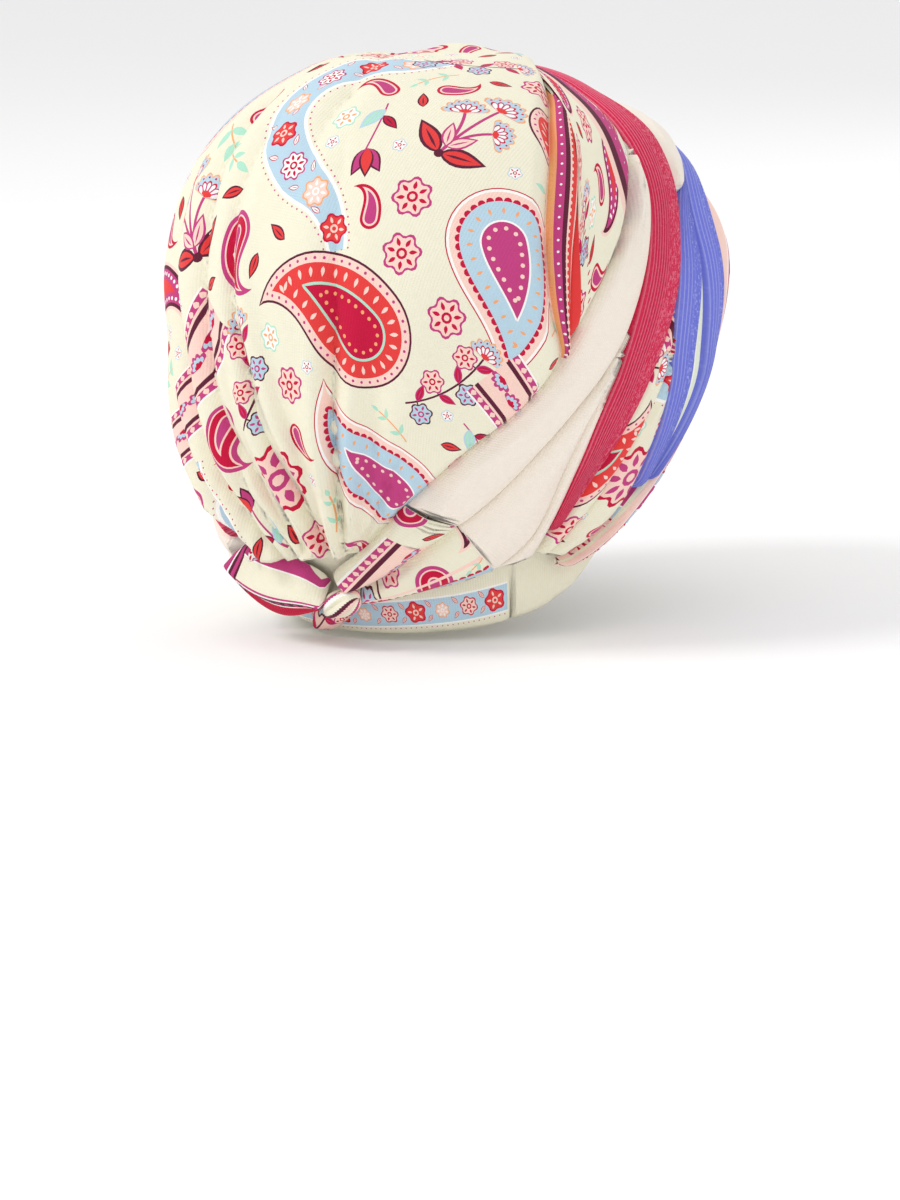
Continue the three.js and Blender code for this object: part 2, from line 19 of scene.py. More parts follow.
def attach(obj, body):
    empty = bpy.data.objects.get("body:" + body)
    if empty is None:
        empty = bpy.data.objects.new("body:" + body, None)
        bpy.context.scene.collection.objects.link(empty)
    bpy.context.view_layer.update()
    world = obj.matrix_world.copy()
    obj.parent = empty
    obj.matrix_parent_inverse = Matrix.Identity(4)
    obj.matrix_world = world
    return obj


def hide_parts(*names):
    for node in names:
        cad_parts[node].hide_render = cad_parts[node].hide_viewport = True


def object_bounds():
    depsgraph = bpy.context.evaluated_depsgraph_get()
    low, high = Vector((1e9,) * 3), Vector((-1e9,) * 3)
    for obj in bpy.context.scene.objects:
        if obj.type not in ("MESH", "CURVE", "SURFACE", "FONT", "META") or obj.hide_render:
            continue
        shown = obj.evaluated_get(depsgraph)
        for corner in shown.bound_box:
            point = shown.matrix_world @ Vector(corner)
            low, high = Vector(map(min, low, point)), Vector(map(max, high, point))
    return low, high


bl_info = {
    "name": "Printed jersey turban",
    "version": (1, 0, 0),
    "blender": (4, 5, 0),
    "location": "View3D > Sidebar > Turban",
    "description": "Builds the cloth, ribbons and knot of a printed jersey turban headwrap",
    "category": "Mesh",
}

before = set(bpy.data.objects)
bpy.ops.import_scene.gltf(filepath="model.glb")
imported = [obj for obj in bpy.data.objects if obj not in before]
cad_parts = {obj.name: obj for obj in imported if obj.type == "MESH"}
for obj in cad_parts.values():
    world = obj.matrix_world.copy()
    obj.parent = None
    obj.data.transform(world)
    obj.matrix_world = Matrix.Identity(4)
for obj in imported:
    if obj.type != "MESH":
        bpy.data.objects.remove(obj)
CAD_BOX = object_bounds()
MM = 0.001

# Half sizes of the outer form, as in the solids
HALF_WIDTH = 82
FRONT_REACH = 96
BACK_REACH = 113
RISE = 109.5
DROP = 98
GAP = 0.4           # clear room between pieces

# Shape of the form at each height angle, as shares of its half sizes
FORM = {
    "up": (-60, -40, -20, 0, 20, 40, 60, 80, 90),
    "side": (1.165, 1.072, 1.002, 1.028, 1.106, 1.096, 1.024, 0.978, 1),
    "front": (0.801, 0.823, 0.864, 0.974, 1.081, 1.039, 0.956, 0.963, 1),
    "back": (1.143, 1.086, 1.006, 0.985, 1.054, 1.11, 1.075, 0.975, 1),
}

# Where the rear edge of the wrapped folds runs, in degrees round the form at each height angle
WRAP_EDGE = {
    "up": (-38, -31, -24.8, -20, -13.2, -3.8, 5.6, 12.5, 21.4, 30.6, 39.6, 49.1, 63.3, 72, 81, 90),
    "right": (150, 142, 133, 127.5, 120, 108.6, 102.5, 105, 105.7, 104, 100.8, 97, 81, 60, 0, -70),
    "left": (182, 172, 158, 145, 128, 110, 103, 105, 105.7, 104, 100.8, 97, 81, 60, 0, -70),
}
EDGE_ROLL = 9       # how far from the wrap the bag starts to turn down, mm
EDGE_BEYOND = 3     # how far under the wrap it is pressed flat, mm

# Creases between the wrapped folds, [around, up] in rows from the middle of the front, over the
# top and down past the side to the back
CREASES = {
    "panel": ((0, 81), (80.9, 63.3), (97, 49.1), (100.8, 39.6), (104.1, 30.6), (105.7, 21.4),
              (105, 12.5), (102.3, 5.6), (100, -2)),
    "pleat": ((0, 80.7), (73, 62.2), (90.4, 48.1), (94.1, 38.4), (97.4, 29.8), (100.8, 21.1),
              (101.5, 12.3), (101.2, 5.4), (99.5, -2)),
    "plain_rear": ((0, 80.4), (66.2, 60.5), (75.6, 44.2), (77.9, 36.7), (83.6, 28.4),
                   (91.7, 19.7), (97.9, 11.5), (100.1, 5.1), (108.6, -3.8), (119.9, -13.2),
                   (129.5, -21.7), (132, -23.6), (133.2, -24.8)),
    "plain_middle": ((0, 80.4), (66.2, 60.5), (75.6, 44.2), (74.9, 36.4), (78.2, 27.7),
                     (82.9, 19.5), (87.2, 10.5), (91, 3.3), (98, -4.7), (105.3, -14.3),
                     (113.5, -23.5), (118.5, -27), (122.4, -29.6)),
    "plain_side": ((0, 80.4), (66.2, 60.5), (75.6, 44.2), (74.9, 36.4), (78.2, 27.7),
                   (82.9, 19.5), (86.7, 10.5), (89.8, 3.2), (94.7, -5.3), (98.3, -15),
                   (101, -24.6), (104.5, -33.5), (113.9, -40)),
    "red_rear": ((0, 80.4), (66.2, 60.5), (75.6, 44.2), (74.9, 36.4), (78.2, 27.7), (82.9, 19.5),
                 (86.7, 10.5), (89, 2.9), (93, -5.9), (95.3, -15.1), (98.3, -24.9),
                 (102.1, -32.7), (104.9, -37.8)),
    "red_front": ((0, 66), (44, 57.5), (58, 43), (62.4, 35.5), (67.5, 28.1), (73.6, 19.1),
                  (76, 9.3), (80.1, 1.6), (84.7, -6.8), (90.4, -15.9), (96.1, -25.2),
                  (101.1, -32.4), (104, -37.6)),
    "print_middle": ((0, 66), (44, 57.5), (58, 43), (62.4, 35.5), (67.5, 28.1), (73.6, 19.1),
                     (75.3, 9.3), (74.2, 0.5), (78.4, -6.7), (84.1, -17.6), (89.9, -26.1),
                     (96.3, -32.7), (102.4, -37.6)),
    "blue_rear": ((0, 50), (22, 46), (39.4, 38.8), (53.5, 34.2), (67, 28), (73.4, 19.1),
                  (74.5, 9.2), (73.1, 0.2), (72.9, -7.8), (73.5, -17.9), (76.3, -26.1),
                  (87.8, -33.4), (98.5, -39)),
    "pale_rear": ((0, 50), (22, 46), (39.4, 38.8), (53.5, 34.2), (62.8, 27.6), (64.5, 18.1),
                  (64.6, 7.9), (63.1, -1.6), (64, -8.9), (67.3, -19), (75.8, -26.4), (87, -33.8),
                  (98, -39.5)),
    "pale_front": ((0, 50), (22, 46), (39.4, 38.8), (53.5, 34.2), (62.6, 27.6), (63.6, 17.6),
                   (59, 7.4), (52.7, -3.2), (52.5, -10.6), (62.8, -19.1), (75.4, -26.6),
                   (86.5, -34), (97.8, -40)),
    "blue_front": ((0, 40), (17, 36.5), (26.6, 33.8), (41, 31.5), (49.5, 26.1), (52.9, 17.1),
                   (46, 6.5), (45.4, -4), (48, -10.2), (59.5, -18.8), (75, -26.8), (86, -34.3),
                   (97.7, -40.4)),
    "wrap_low": ((0, 8), (9, 7.5), (18, 6.5), (25, 5), (31, 3), (36, 0), (40, -3.5), (44, -8),
                 (47.5, -13.8), (51.9, -19), (69.1, -28.9), (83.7, -35.5), (97.6, -41.4)),
}

# Wrapped folds: the node's name without its side, the two creases, the first and last row,
# heights of the rear edge, middle and front edge as shares of the wrap depth, the radius of the
# two rolled edges, then how many soft ridges run along it and their height. A fold without a
# first row runs over the middle from one side to the other.
FOLDS = (
    ("print_pleat_rear", "panel", "pleat", 0.12, 7.2, (0.55, 0.95, 0.6), (1.5, 1.5), 0, 0),
    ("print_pleat_front", "pleat", "plain_rear", 0.12, 6.9, (0.5, 1.05, 0.7), (2.5, 2), 1.5, 0.5),
    ("plain_fold_upper", "plain_rear", "plain_middle", 2.2, 12.18, (0.6, 1.05, 0.6), (4, 2), 2.2, 0.75),
    ("plain_fold_lower", "plain_middle", "plain_side", 5.6, 12.18, (0.5, 1.0, 0.55), (3, 2), 1.4, 0.7),
    ("plain_fold_side", "plain_side", "red_rear", 6.4, 12, (0.45, 0.7, 0.5), (1, 1), 0, 0),
    ("red_band", "red_rear", "red_front", None, 10.95, (0.75, 1.0, 0.85), (1.6, 1.6), 0, 0),
    ("plain_fold_front", "red_front", "blue_rear", None, 3.6, (0.5, 1.1, 0.6), (2, 2), 4.5, 0.5),
    ("print_fold_upper", "red_front", "print_middle", 5.6, 11.9, (0.4, 0.9, 0.5), (2, 2), 1.2, 0.5),
    ("print_fold_lower", "print_middle", "blue_rear", 5.7, 11.9, (0.4, 0.85, 0.4), (2, 2), 2.2, 0.6),
    ("blue_band_rear", "blue_rear", "pale_rear", 3.2, 9.95, (0.7, 0.88, 0.75), (1.4, 1.4), 0, 0),
    ("pale_strip", "pale_rear", "pale_front", 4.6, 9.8, (0.4, 0.6, 0.4), (1, 1), 0, 0),
    ("blue_band_front", "pale_front", "blue_front", None, 9.75, (0.8, 0.98, 0.85), (1.4, 1.4), 0, 0),
    ("front_print_fold", "blue_front", "wrap_low", None, 11.9, (0.5, 0.95, 0.4), (2, 3), 1.6, 0.5),
)

# Ties and tails: rows of [around, up] of the upper edge, then of the lower one
TIES = {
    "tie_end": ((122.6, -29.9, 114.1, -40.2), (131.5, -35.6, 127, -43.3),
                (140.6, -41.4, 138, -44.4), (147.6, -43.2, 147.3, -45.7)),
    "tie_strip": ((133.9, -25.5, 123.2, -29.7), (141, -33.5, 131.8, -34.8),
                  (150, -38.2, 141.2, -40.6), (154.5, -41.2, 148.2, -42.4)),
    "red_tail": ((-133.6, -25.2, -129.2, -27.4), (-144, -25, -143, -29.2),
                 (-155, -25.8, -155, -30.4), (-167, -30.3, -167, -34.5)),
    "plain_tail_upper": ((-129.2, -27.4, -119.4, -34), (-143, -29.2, -138, -36.2),
                         (-155, -30.4, -153.5, -37.8), (-167, -34.5, -166.5, -39.8)),
    "plain_tail_lower": ((-119.4, -34, -114.1, -40.2), (-138, -36.2, -133, -44.5),
                         (-153.5, -37.8, -151, -46), (-166.5, -39.8, -166, -46)),
    "tie_loop": ((189.5, -35, 191, -43), (181, -37.4, 185.5, -49.5), (171.5, -38.5, 175.5, -51.3),
                 (163.5, -39.8, 166, -48.8), (159.6, -42.3, 161, -46.8)),
    "tie_tail": ((173, -52.2, 172, -55.4), (168, -51.4, 167, -55.6), (163.2, -49.8, 162, -53.4),
                 (154.5, -47.6, 154.1, -49.8)),
}
# Heights of a tie's upper edge, middle and lower edge, as shares of the wrap depth
TIE_HEIGHTS = {
    "tie_end": (0.5, 1.15, 0.5),
    "tie_strip": (0.6, 1.2, 0.6),
    "red_tail": (0.5, 0.85, 0.6),
    "plain_tail_upper": (0.5, 1.0, 0.5),
    "plain_tail_lower": (0.6, 1.15, 0.6),
    "tie_loop": (0.55, 1.7, 0.6),
    "tie_tail": (0.8, 0.95, 0.7),
}

# The hem band at angles round the form: its low and high edge, and how deep the low edge lies
HEM = {
    "around": (0, 46, 58, 71, 88, 102, 129, 166, 180),
    "low": (-5, -17, -24, -33, -46, -52, -56, -58, -58),
    "high": (9, -7, -12, -20, -25, -27, -28, -30, -30),
    "depth": (1, 1, 0.98, 0.85, 0.6, 0.45, 0.4, 0.4, 0.4),
}

# Folds of the bag: [around, up] along each, its depth and half width at the start, the same at
# the end, and whether it is sharp at the bottom or a soft hollow
BAG_FOLDS = (
    (((157, 58), (158.4, 45.8), (157.7, 36.5), (161.9, 27.3), (165, 16)), 2.6, 3, 0.2, 8, True),
    (((176, 52), (174.5, 42.3), (174.4, 30.1), (172.6, 19.3), (170.5, 8.1), (165.1, -6.7),
      (157.9, -23.0), (153.9, -35)), 1.6, 3, 5.0, 3.2, True),
    (((-165, 58), (-171.4, 46.8), (-173.6, 34.1), (-177.5, 16.4), (-179.8, 0.2), (172.8, -13.5),
      (160.5, -34)), 2.2, 3.5, 5.0, 3.4, True),
    (((153.5, 48), (148.2, 35.5), (145.8, 14.5), (147.8, -1.8), (148.0, -16.2), (149.0, -36)),
     0.6, 5, 5.6, 2.2, True),
    (((175, -8), (172.6, -22.3), (167.9, -28.8), (161.6, -38)), 1.5, 3.5, 5.0, 2.6, True),
    (((116, -12), (126.6, -20.6), (133.0, -24.1), (138.9, -30.5), (145, -37)), 0.6, 3, 4.2, 2.4, True),
    (((131, -4), (136, -17), (141.5, -28), (147, -37)), 0.5, 4, 3.6, 2.6, True),
    (((159.4, 54.3), (161.2, 64.3), (-140.0, 78)), 1.4, 3, 0.4, 3, True),
    (((-155, 42), (-161, 22), (-167, 4), (-175, -12), (178, -24), (167, -37)), 1.6, 4.5, 5.0, 3.2, True),
    (((-140, 38), (-145, 18), (-153, 0), (-163, -14), (-172, -24), (176, -38)), 1.4, 5, 5.0, 3.2, True),
    (((-122, 30), (-128, 12), (-137, -4), (-149, -16), (-163, -27), (-176, -38)), 1.0, 5, 4.4, 3.2, True),
    (((-110, 16), (-118, 0), (-131, -12), (-147, -23), (-166, -34)), 0.6, 5, 4.0, 3.4, True),
    (((166, 32), (164, 14), (159, -4), (155, -18), (152, -36)), 0.2, 7, 3.2, 2.4, False),
    (((-178, 36), (178, 14), (173, -4), (166, -20), (157, -36)), 1.2, 5, 3.4, 2.4, False),
    (((140, 30), (139, 8), (140, -10), (143, -24), (147, -37)), 0.2, 8, 3.0, 2.6, False),
    (((130, 80), (70, 87), (-50, 86), (-110, 80)), 2.0, 13, 2.0, 13, False),
    (((40, 76), (85, 66), (104, 52), (112, 40)), 0.7, 3.5, 0, 8, True),
    (((-60, 80), (-95, 66), (-112, 52), (-121, 38)), 0.7, 3.5, 0, 9, True),
)

# Inks of the print, sRGB
INKS = {
    "cream": "ECE8D2",
    "crimson": "C4143F",
    "coral": "E2403F",
    "magenta": "C0417F",
    "plum": "5E2138",
    "blush": "F6D2C6",
    "apricot": "F2A873",
    "sky": "B7D2E2",
    "mint": "AEE0CA",
    "white": "F8F6F2",
}
INK_NAMES = list(INKS)


def linear(text):
    """Linear red, green and blue of an sRGB hex value."""
    shares = [int(text[i : i + 2], 16) / 255 for i in (0, 2, 4)]
    return [s / 12.92 if s <= 0.04045 else ((s + 0.055) / 1.055) ** 2.4 for s in shares]


def table_curve(xs, ys):
    """Monotone cubic through a table, for arrays of x."""
    xs, ys = np.array(xs, float), np.array(ys, float)
    steps = np.diff(ys) / np.diff(xs)
    slopes = np.zeros(len(ys))
    before, after = steps[:-1], steps[1:]
    same = before * after > 0
    slopes[1:-1][same] = 2 * before[same] * after[same] / (before + after)[same]

    def curve(x):
        x = np.clip(x, xs[0], xs[-1])
        i = np.clip(np.searchsorted(xs, x, side="right") - 1, 0, len(xs) - 2)
        span = xs[i + 1] - xs[i]
        t = (x - xs[i]) / span
        bend = span * t * (1 - t) * ((1 - t) * slopes[i] - t * slopes[i + 1])
        return ys[i] + (ys[i + 1] - ys[i]) * (3 - 2 * t) * t * t + bend

    return curve


def smooth(x):
    t = np.clip(x, 0, 1)
    return t * t * (3 - 2 * t)


def ball(around, up):
    """Directions on the unit ball for arrays of angles in degrees."""
    around, up = np.radians(around), np.radians(up)
    flat = np.cos(up)
    return np.stack([-np.sin(around) * flat, -np.cos(around) * flat, np.sin(up)], -1)


def unit(v):
    return v / np.linalg.norm(v, axis=-1, keepdims=True)


def angles(balls):
    balls = unit(balls)
    around = np.degrees(np.arctan2(-balls[..., 0], -balls[..., 1]))
    return around, np.degrees(np.arcsin(np.clip(balls[..., 2], -1, 1)))


side_share, front_share, back_share = (
    table_curve(FORM["up"], FORM[k]) for k in ("side", "front", "back")
)


def form_share(balls):
    around, up = angles(balls)
    ahead, aside = np.cos(np.radians(around)), np.sin(np.radians(around))
    lengthwise = np.where(ahead > 0, front_share(up), back_share(up))
    return 1 / np.hypot(ahead / lengthwise, aside / side_share(up))


def form_point(balls):
    """Points of the outer form, in millimetres."""
    balls = unit(balls)
    points = balls * form_share(balls)[..., None]
    reach = np.where(points[..., 1] < 0, FRONT_REACH, BACK_REACH)
    rise = np.where(points[..., 2] < 0, DROP, RISE)
    return np.stack([points[..., 0] * HALF_WIDTH, points[..., 1] * reach, points[..., 2] * rise], -1)


def form_normal(balls):
    balls = unit(balls)
    level = (np.abs(balls[..., 2:]) < 0.9).astype(float)
    helper = level * np.array([0, 0, 1.0]) + (1 - level) * np.array([1.0, 0, 0])
    a = unit(np.cross(helper, balls)) * 0.01
    b = np.cross(balls, a)
    along_a = form_point(balls + a) - form_point(balls - a)
    along_b = form_point(balls + b) - form_point(balls - b)
    return unit(np.cross(along_a, along_b))


def skin(balls, heights):
    """Points at a height over the form, along its normal, in millimetres."""
    return form_point(balls) + form_normal(balls) * heights[..., None]


def spline_rows(rows, at):
    """Points of a uniform B-spline through rows of directions, at fractional row numbers."""
    last = len(rows) - 1
    first = 2 * rows[0] - rows[1]
    end = 2 * rows[last] - rows[last - 1]
    padded = np.vstack([first, rows, end])
    i = np.clip(np.floor(at).astype(int), 0, last - 1)
    t = (at - i)[..., None]
    return unit(
        padded[i] * (1 - t) ** 3
        + padded[i + 1] * (3 * t**3 - 6 * t**2 + 4)
        + padded[i + 2] * (-3 * t**3 + 3 * t**2 + 3 * t + 1)
        + padded[i + 3] * t**3
    )


def crease_rows(name):
    """A crease from its left end to its right one, and the row of the middle."""
    right = np.array([ball(a, u) for a, u in CREASES[name]])
    left = np.array([ball(-a, u) for a, u in CREASES[name][1:]])[::-1]
    return np.vstack([left, right]), len(left)


def near_line(points, line):
    """Distance of 2-D points from a line of points, and how far along it the nearest place is."""
    line = np.array(line, float)
    lengths = np.linalg.norm(np.diff(line, axis=0), axis=1)
    run = np.concatenate([[0], np.cumsum(lengths)])
    best = np.full(len(points), 1e9)
    along = np.zeros(len(points))
    for k in range(len(line) - 1):
        step = line[k + 1] - line[k]
        t = np.clip(((points - line[k]) @ step) / max(lengths[k] ** 2, 1e-9), 0, 1)
        away = np.linalg.norm(points - line[k] - t[:, None] * step, axis=1)
        closer = away < best
        best = np.where(closer, away, best)
        along = np.where(closer, (run[k] + t * lengths[k]) / run[-1], along)
    return best, along


def inside(points, polygon):
    """Which 2-D points lie in a polygon."""
    x, y = points[:, 0], points[:, 1]
    result = np.zeros(len(points), bool)
    for (x0, y0), (x1, y1) in zip(polygon, np.roll(polygon, -1, 0)):
        crosses = (y0 > y) != (y1 > y)
        if crosses.any():
            result ^= crosses & (x < (x1 - x0) * (y - y0) / ((y1 - y0) or 1e-12) + x0)
    return result


def turned(points, angle=0.0, at=(0, 0)):
    """A polygon of the print, in millimetres, turned and then moved."""
    c, s = math.cos(angle), math.sin(angle)
    points = np.asarray(points, float)
    return points @ np.array([[c, s], [-s, c]]) + np.array(at)


def disc(radius, sides=10):
    turn = np.arange(sides) * 2 * math.pi / sides
    return np.stack([np.cos(turn), np.sin(turn)], 1) * radius


PETAL_FULLNESS = 0.8    # below 1 the widest place of a leaf lies nearer its stalk


def petal(length, width, points=6):
    """A leaf from the origin along +x."""
    t = np.linspace(0, 1, points)
    half = width / 2 * np.sin(np.pi * t**PETAL_FULLNESS)
    upper = np.stack([t * length, half], 1)
    lower = np.stack([t * length, -half], 1)[1:-1][::-1]
    return np.vstack([upper, lower])


PETAL_STEPS = 5         # points round each petal or scallop


def flower(radius, petals, dent=0.25):
    turn = np.arange(petals * PETAL_STEPS) * 2 * math.pi / (petals * PETAL_STEPS)
    reach = radius * (1 - dent + dent * np.abs(np.cos(petals * turn / 2)))
    return np.stack([np.cos(turn), np.sin(turn)], 1) * reach[:, None]


def fan(radius, petals, dent=0.2, spread=1.15):
    """Scalloped fan that opens along +y from the origin."""
    count = petals * PETAL_STEPS + 1
    turn = np.linspace(-spread, spread, count)
    lobe = np.abs(np.sin(np.linspace(0, petals * np.pi, count)))
    reach = radius * (1 - dent + dent * lobe)
    arc = np.stack([np.sin(turn) * reach, np.cos(turn) * reach], 1)[::-1]
    return np.vstack([[[0, 0]], arc])


def band(path, width):
    """A strip of one width round a path."""
    path = np.asarray(path, float)
    tangent = unit(np.gradient(path, axis=0))
    normal = np.stack([-tangent[:, 1], tangent[:, 0]], 1)
    return np.vstack([path + normal * width / 2, (path - normal * width / 2)[::-1]])


def bow(length, bend, points=14):
    """A path of a given length that turns by bend radians."""
    heading = bend * np.linspace(0, 1, points)
    step = length / (points - 1)
    x = np.concatenate([[0], np.cumsum(np.cos(heading[:-1]) * step)])
    y = np.concatenate([[0], np.cumsum(np.sin(heading[:-1]) * step)])
    return np.stack([x, y], 1)


def drop(length, width, hook):
    """Outline of a paisley drop whose round head is at the origin."""
    radius = width / 2
    t = 1 - np.cos(np.linspace(0, math.pi / 2, 12))
    run = np.concatenate([t * radius * 0.999, np.linspace(radius, length, 22)[1:]])
    heading = hook * np.clip((run - radius) / (length - radius), 0, 1) ** 1.6
    step = np.diff(run)
    x = np.concatenate([[0], np.cumsum(np.cos(heading[:-1]) * step)]) - radius
    y = np.concatenate([[0], np.cumsum(np.sin(heading[:-1]) * step)])
    rest = np.clip((run - radius) / (length - radius), 0, 1)
    half = np.where(run < radius, np.sqrt(np.clip(radius**2 - (run - radius) ** 2, 0, None)),
                    radius * np.cos(rest * math.pi / 2) ** 1.15)
    normal = np.stack([-np.sin(heading), np.cos(heading)], 1)
    path = np.stack([x, y], 1)
    upper = path + normal * half[:, None]
    lower = path - normal * half[:, None]
    return np.vstack([lower, upper[1:-1][::-1]])


def offset(outline, depth):
    """The outline moved inwards, without what would cross itself."""
    if depth == 0:
        return outline
    tangent = unit(np.roll(outline, -1, 0) - np.roll(outline, 1, 0))
    moved = outline + np.stack([-tangent[:, 1], tangent[:, 0]], 1) * depth
    apart = np.sqrt(((moved[:, None] - outline[None]) ** 2).sum(2)).min(1)
    return moved[apart > depth * 0.94]


def spaced(line, pitch, closed=True):
    """Points at a pitch along a line, each with its heading."""
    line = np.vstack([line, line[:1]]) if closed else np.asarray(line, float)
    run = np.concatenate([[0], np.cumsum(np.linalg.norm(np.diff(line, axis=0), axis=1))])
    count = max(int(run[-1] / pitch), 1)
    at = (np.arange(count) + 0.5) * run[-1] / count
    x, y = np.interp(at, run, line[:, 0]), np.interp(at, run, line[:, 1])
    beyond = [np.interp(at + 0.3, run, line[:, k]) for k in (0, 1)]
    ahead = np.stack([beyond[0] - x, beyond[1] - y], 1)
    return [((px, py), math.atan2(dy, dx)) for px, py, (dx, dy) in zip(x, y, ahead)]


# Layers of the paisley drops: kind, depth from the outline, size, pitch and ink
DROPS = {
    "coral": (("fill", 0, 0, 0, "plum"), ("fill", 0.7, 0, 0, "blush"), ("dots", 2.0, 0.5, 3.0, "magenta"),
              ("fill", 3.3, 0, 0, "coral"), ("seeds", 4.4, 3.0, 4.2, "blush"),
              ("fill", 8.8, 0, 0, "mint"), ("fill", 9.6, 0, 0, "crimson"), ("dots", 11.6, 0.6, 2.8, "apricot")),
    "sky": (("fill", 0, 0, 0, "crimson"), ("fill", 0.4, 0, 0, "white"), ("fill", 1.3, 0, 0, "blush"),
            ("dots", 4.2, 1.25, 2.7, "crimson"), ("fill", 4.4, 0, 0, "sky"),
            ("seeds", 6.4, 2.3, 4.6, "apricot"), ("fill", 10.6, 0, 0, "white"),
            ("fill", 11.2, 0, 0, "magenta"), ("dots", 13.2, 0.7, 3.2, "blush")),
    "berry": (("fill", 0, 0, 0, "magenta"), ("fill", 1.3, 0, 0, "blush"), ("fill", 1.8, 0, 0, "crimson"),
              ("fill", 4.0, 0, 0, "blush"), ("fill", 4.6, 0, 0, "magenta")),
    "plum": (("fill", 0, 0, 0, "blush"), ("fill", 0.9, 0, 0, "plum"), ("fill", 2.0, 0, 0, "magenta"),
             ("dots", 3.3, 0.6, 2.2, "white"), ("fill", 5.0, 0, 0, "coral")),
    "tiny": (("fill", 0, 0, 0, "crimson"), ("fill", 0.9, 0, 0, "blush"), ("fill", 1.5, 0, 0, "magenta")),
}


def drop_motif(recipe, length, width, hook):
    outline = drop(length, width, hook)
    shapes = []
    for kind, depth, size, pitch, ink in DROPS[recipe]:
        line = offset(outline, depth)
        if len(line) < 6:
            continue
        if kind == "fill":
            shapes.append((line, ink))
            continue
        for at, heading in spaced(line, pitch):
            if kind == "dots":
                shapes.append((turned(disc(size, 8), heading, at), ink))
            else:
                shapes.append((turned(petal(size, size * 0.42, 5), heading + math.pi / 2, at), ink))
    return shapes


def rosette(radius, petals, inks, dent=0.28):
    """A round flower of three rings; inks run from the outside in."""
    shapes = [(flower(radius, petals, dent), inks[0]), (flower(radius * 0.86, petals, dent), inks[1])]
    for k in range(petals):
        turn = 2 * math.pi * k / petals
        at = (math.cos(turn) * radius * 0.34, math.sin(turn) * radius * 0.34)
        shapes.append((turned(petal(radius * 0.42, radius * 0.2, 5), turn, at), inks[2]))
    shapes.append((disc(radius * 0.27, 10), inks[2]))
    shapes.append((disc(radius * 0.14, 8), inks[1]))
    return shapes


def moved_shapes(shapes, angle=0.0, at=(0, 0)):
    return [(turned(p, angle, at), ink) for p, ink in shapes]


def blossom(radius):
    """A fan blossom: scalloped sky rim, white petals and a crimson heart."""
    shapes = [(fan(radius, 7, 0.16, 1.45), "apricot"), (fan(radius * 0.93, 7, 0.16, 1.4), "sky")]
    for k in range(7):
        turn = (k - 3) * 0.38
        at = (math.sin(turn) * radius * 0.8, math.cos(turn) * radius * 0.8)
        shapes.append((disc(radius * 0.05, 6) + at, "crimson"))
    shapes.append((fan(radius * 0.68, 6, 0.2, 1.35), "crimson"))
    shapes.append((fan(radius * 0.6, 6, 0.26, 1.3), "white"))
    for k in range(5):
        turn = (k - 2) * 0.42
        path = np.array([[0, 0], [math.sin(turn), math.cos(turn)]]) * radius * 0.52
        path[0] = path[1] * 0.45
        shapes.append((band(path, radius * 0.06), "magenta"))
    shapes.append((fan(radius * 0.3, 3, 0.2, 1.2), "coral"))
    return shapes


def leaf(length, ink, edge="magenta"):
    """A pointed leaf with an outline and a vein."""
    shapes = [(petal(length, length * 0.44, 8), edge)]
    shapes.append((turned(petal(length * 0.84, length * 0.3, 8), 0, (length * 0.06, 0)), ink))
    shapes.append((turned(petal(length * 0.6, length * 0.06, 4), 0, (length * 0.12, 0)), edge))
    return shapes


def sprig(length, ink="mint", pairs=4):
    path = bow(length, 0.5)
    shapes = [(band(path, 0.5), "apricot")]
    for k, (at, heading) in enumerate(spaced(path, length / pairs, closed=False)):
        size = length * (0.3 - 0.035 * k)
        for side in (-1, 1):
            shapes.append((turned(petal(size, size * 0.4), heading + side * 0.85, at), ink))
    shapes.append((turned(petal(length * 0.24, length * 0.1), 0.5, path[-1]), ink))
    return shapes


def posy(size):
    """Three blossoms on curled stems over a pair of leaves."""
    shapes = []
    for bend, reach, radius in ((0.75, 0.62, 0.27), (-0.8, 0.6, 0.25), (0.0, 0.85, 0.31)):
        path = turned(bow(reach * size, bend), math.pi / 2)
        shapes.append((band(path, size * 0.035), "magenta"))
        shapes += moved_shapes(blossom(radius * size), bend, path[-1])
    for side in (-1, 1):
        shapes += moved_shapes(leaf(size * 0.5, "coral", "plum"), math.pi / 2 + side * 1.15)
        small = leaf(size * 0.34, "blush", "magenta")
        shapes += moved_shapes(small, math.pi / 2 + side * 0.55, (0, size * 0.1))
    shapes.append((turned(disc(size * 0.05), 0), "plum"))
    return shapes


def tulip(size):
    """A single tulip on a stem with a curled leaf."""
    shapes = [(band(turned(bow(size, -0.35), math.pi / 2, (0, -size * 0.55)), size * 0.03), "magenta")]
    head = (size * 0.13, size * 0.42)
    for turn, ink in ((0.5, "magenta"), (-0.5, "magenta"), (0.0, "coral")):
        shapes.append((turned(petal(size * 0.5, size * 0.24, 8), math.pi / 2 - turn, head), "plum"))
        shapes.append((turned(petal(size * 0.45, size * 0.18, 8), math.pi / 2 - turn, head), ink))
    shapes += moved_shapes(leaf(size * 0.55, "mint", "sky"), 0.9, (0, -size * 0.4))
    shapes += moved_shapes(leaf(size * 0.42, "crimson", "plum"), 2.3, (0, -size * 0.25))
    return shapes


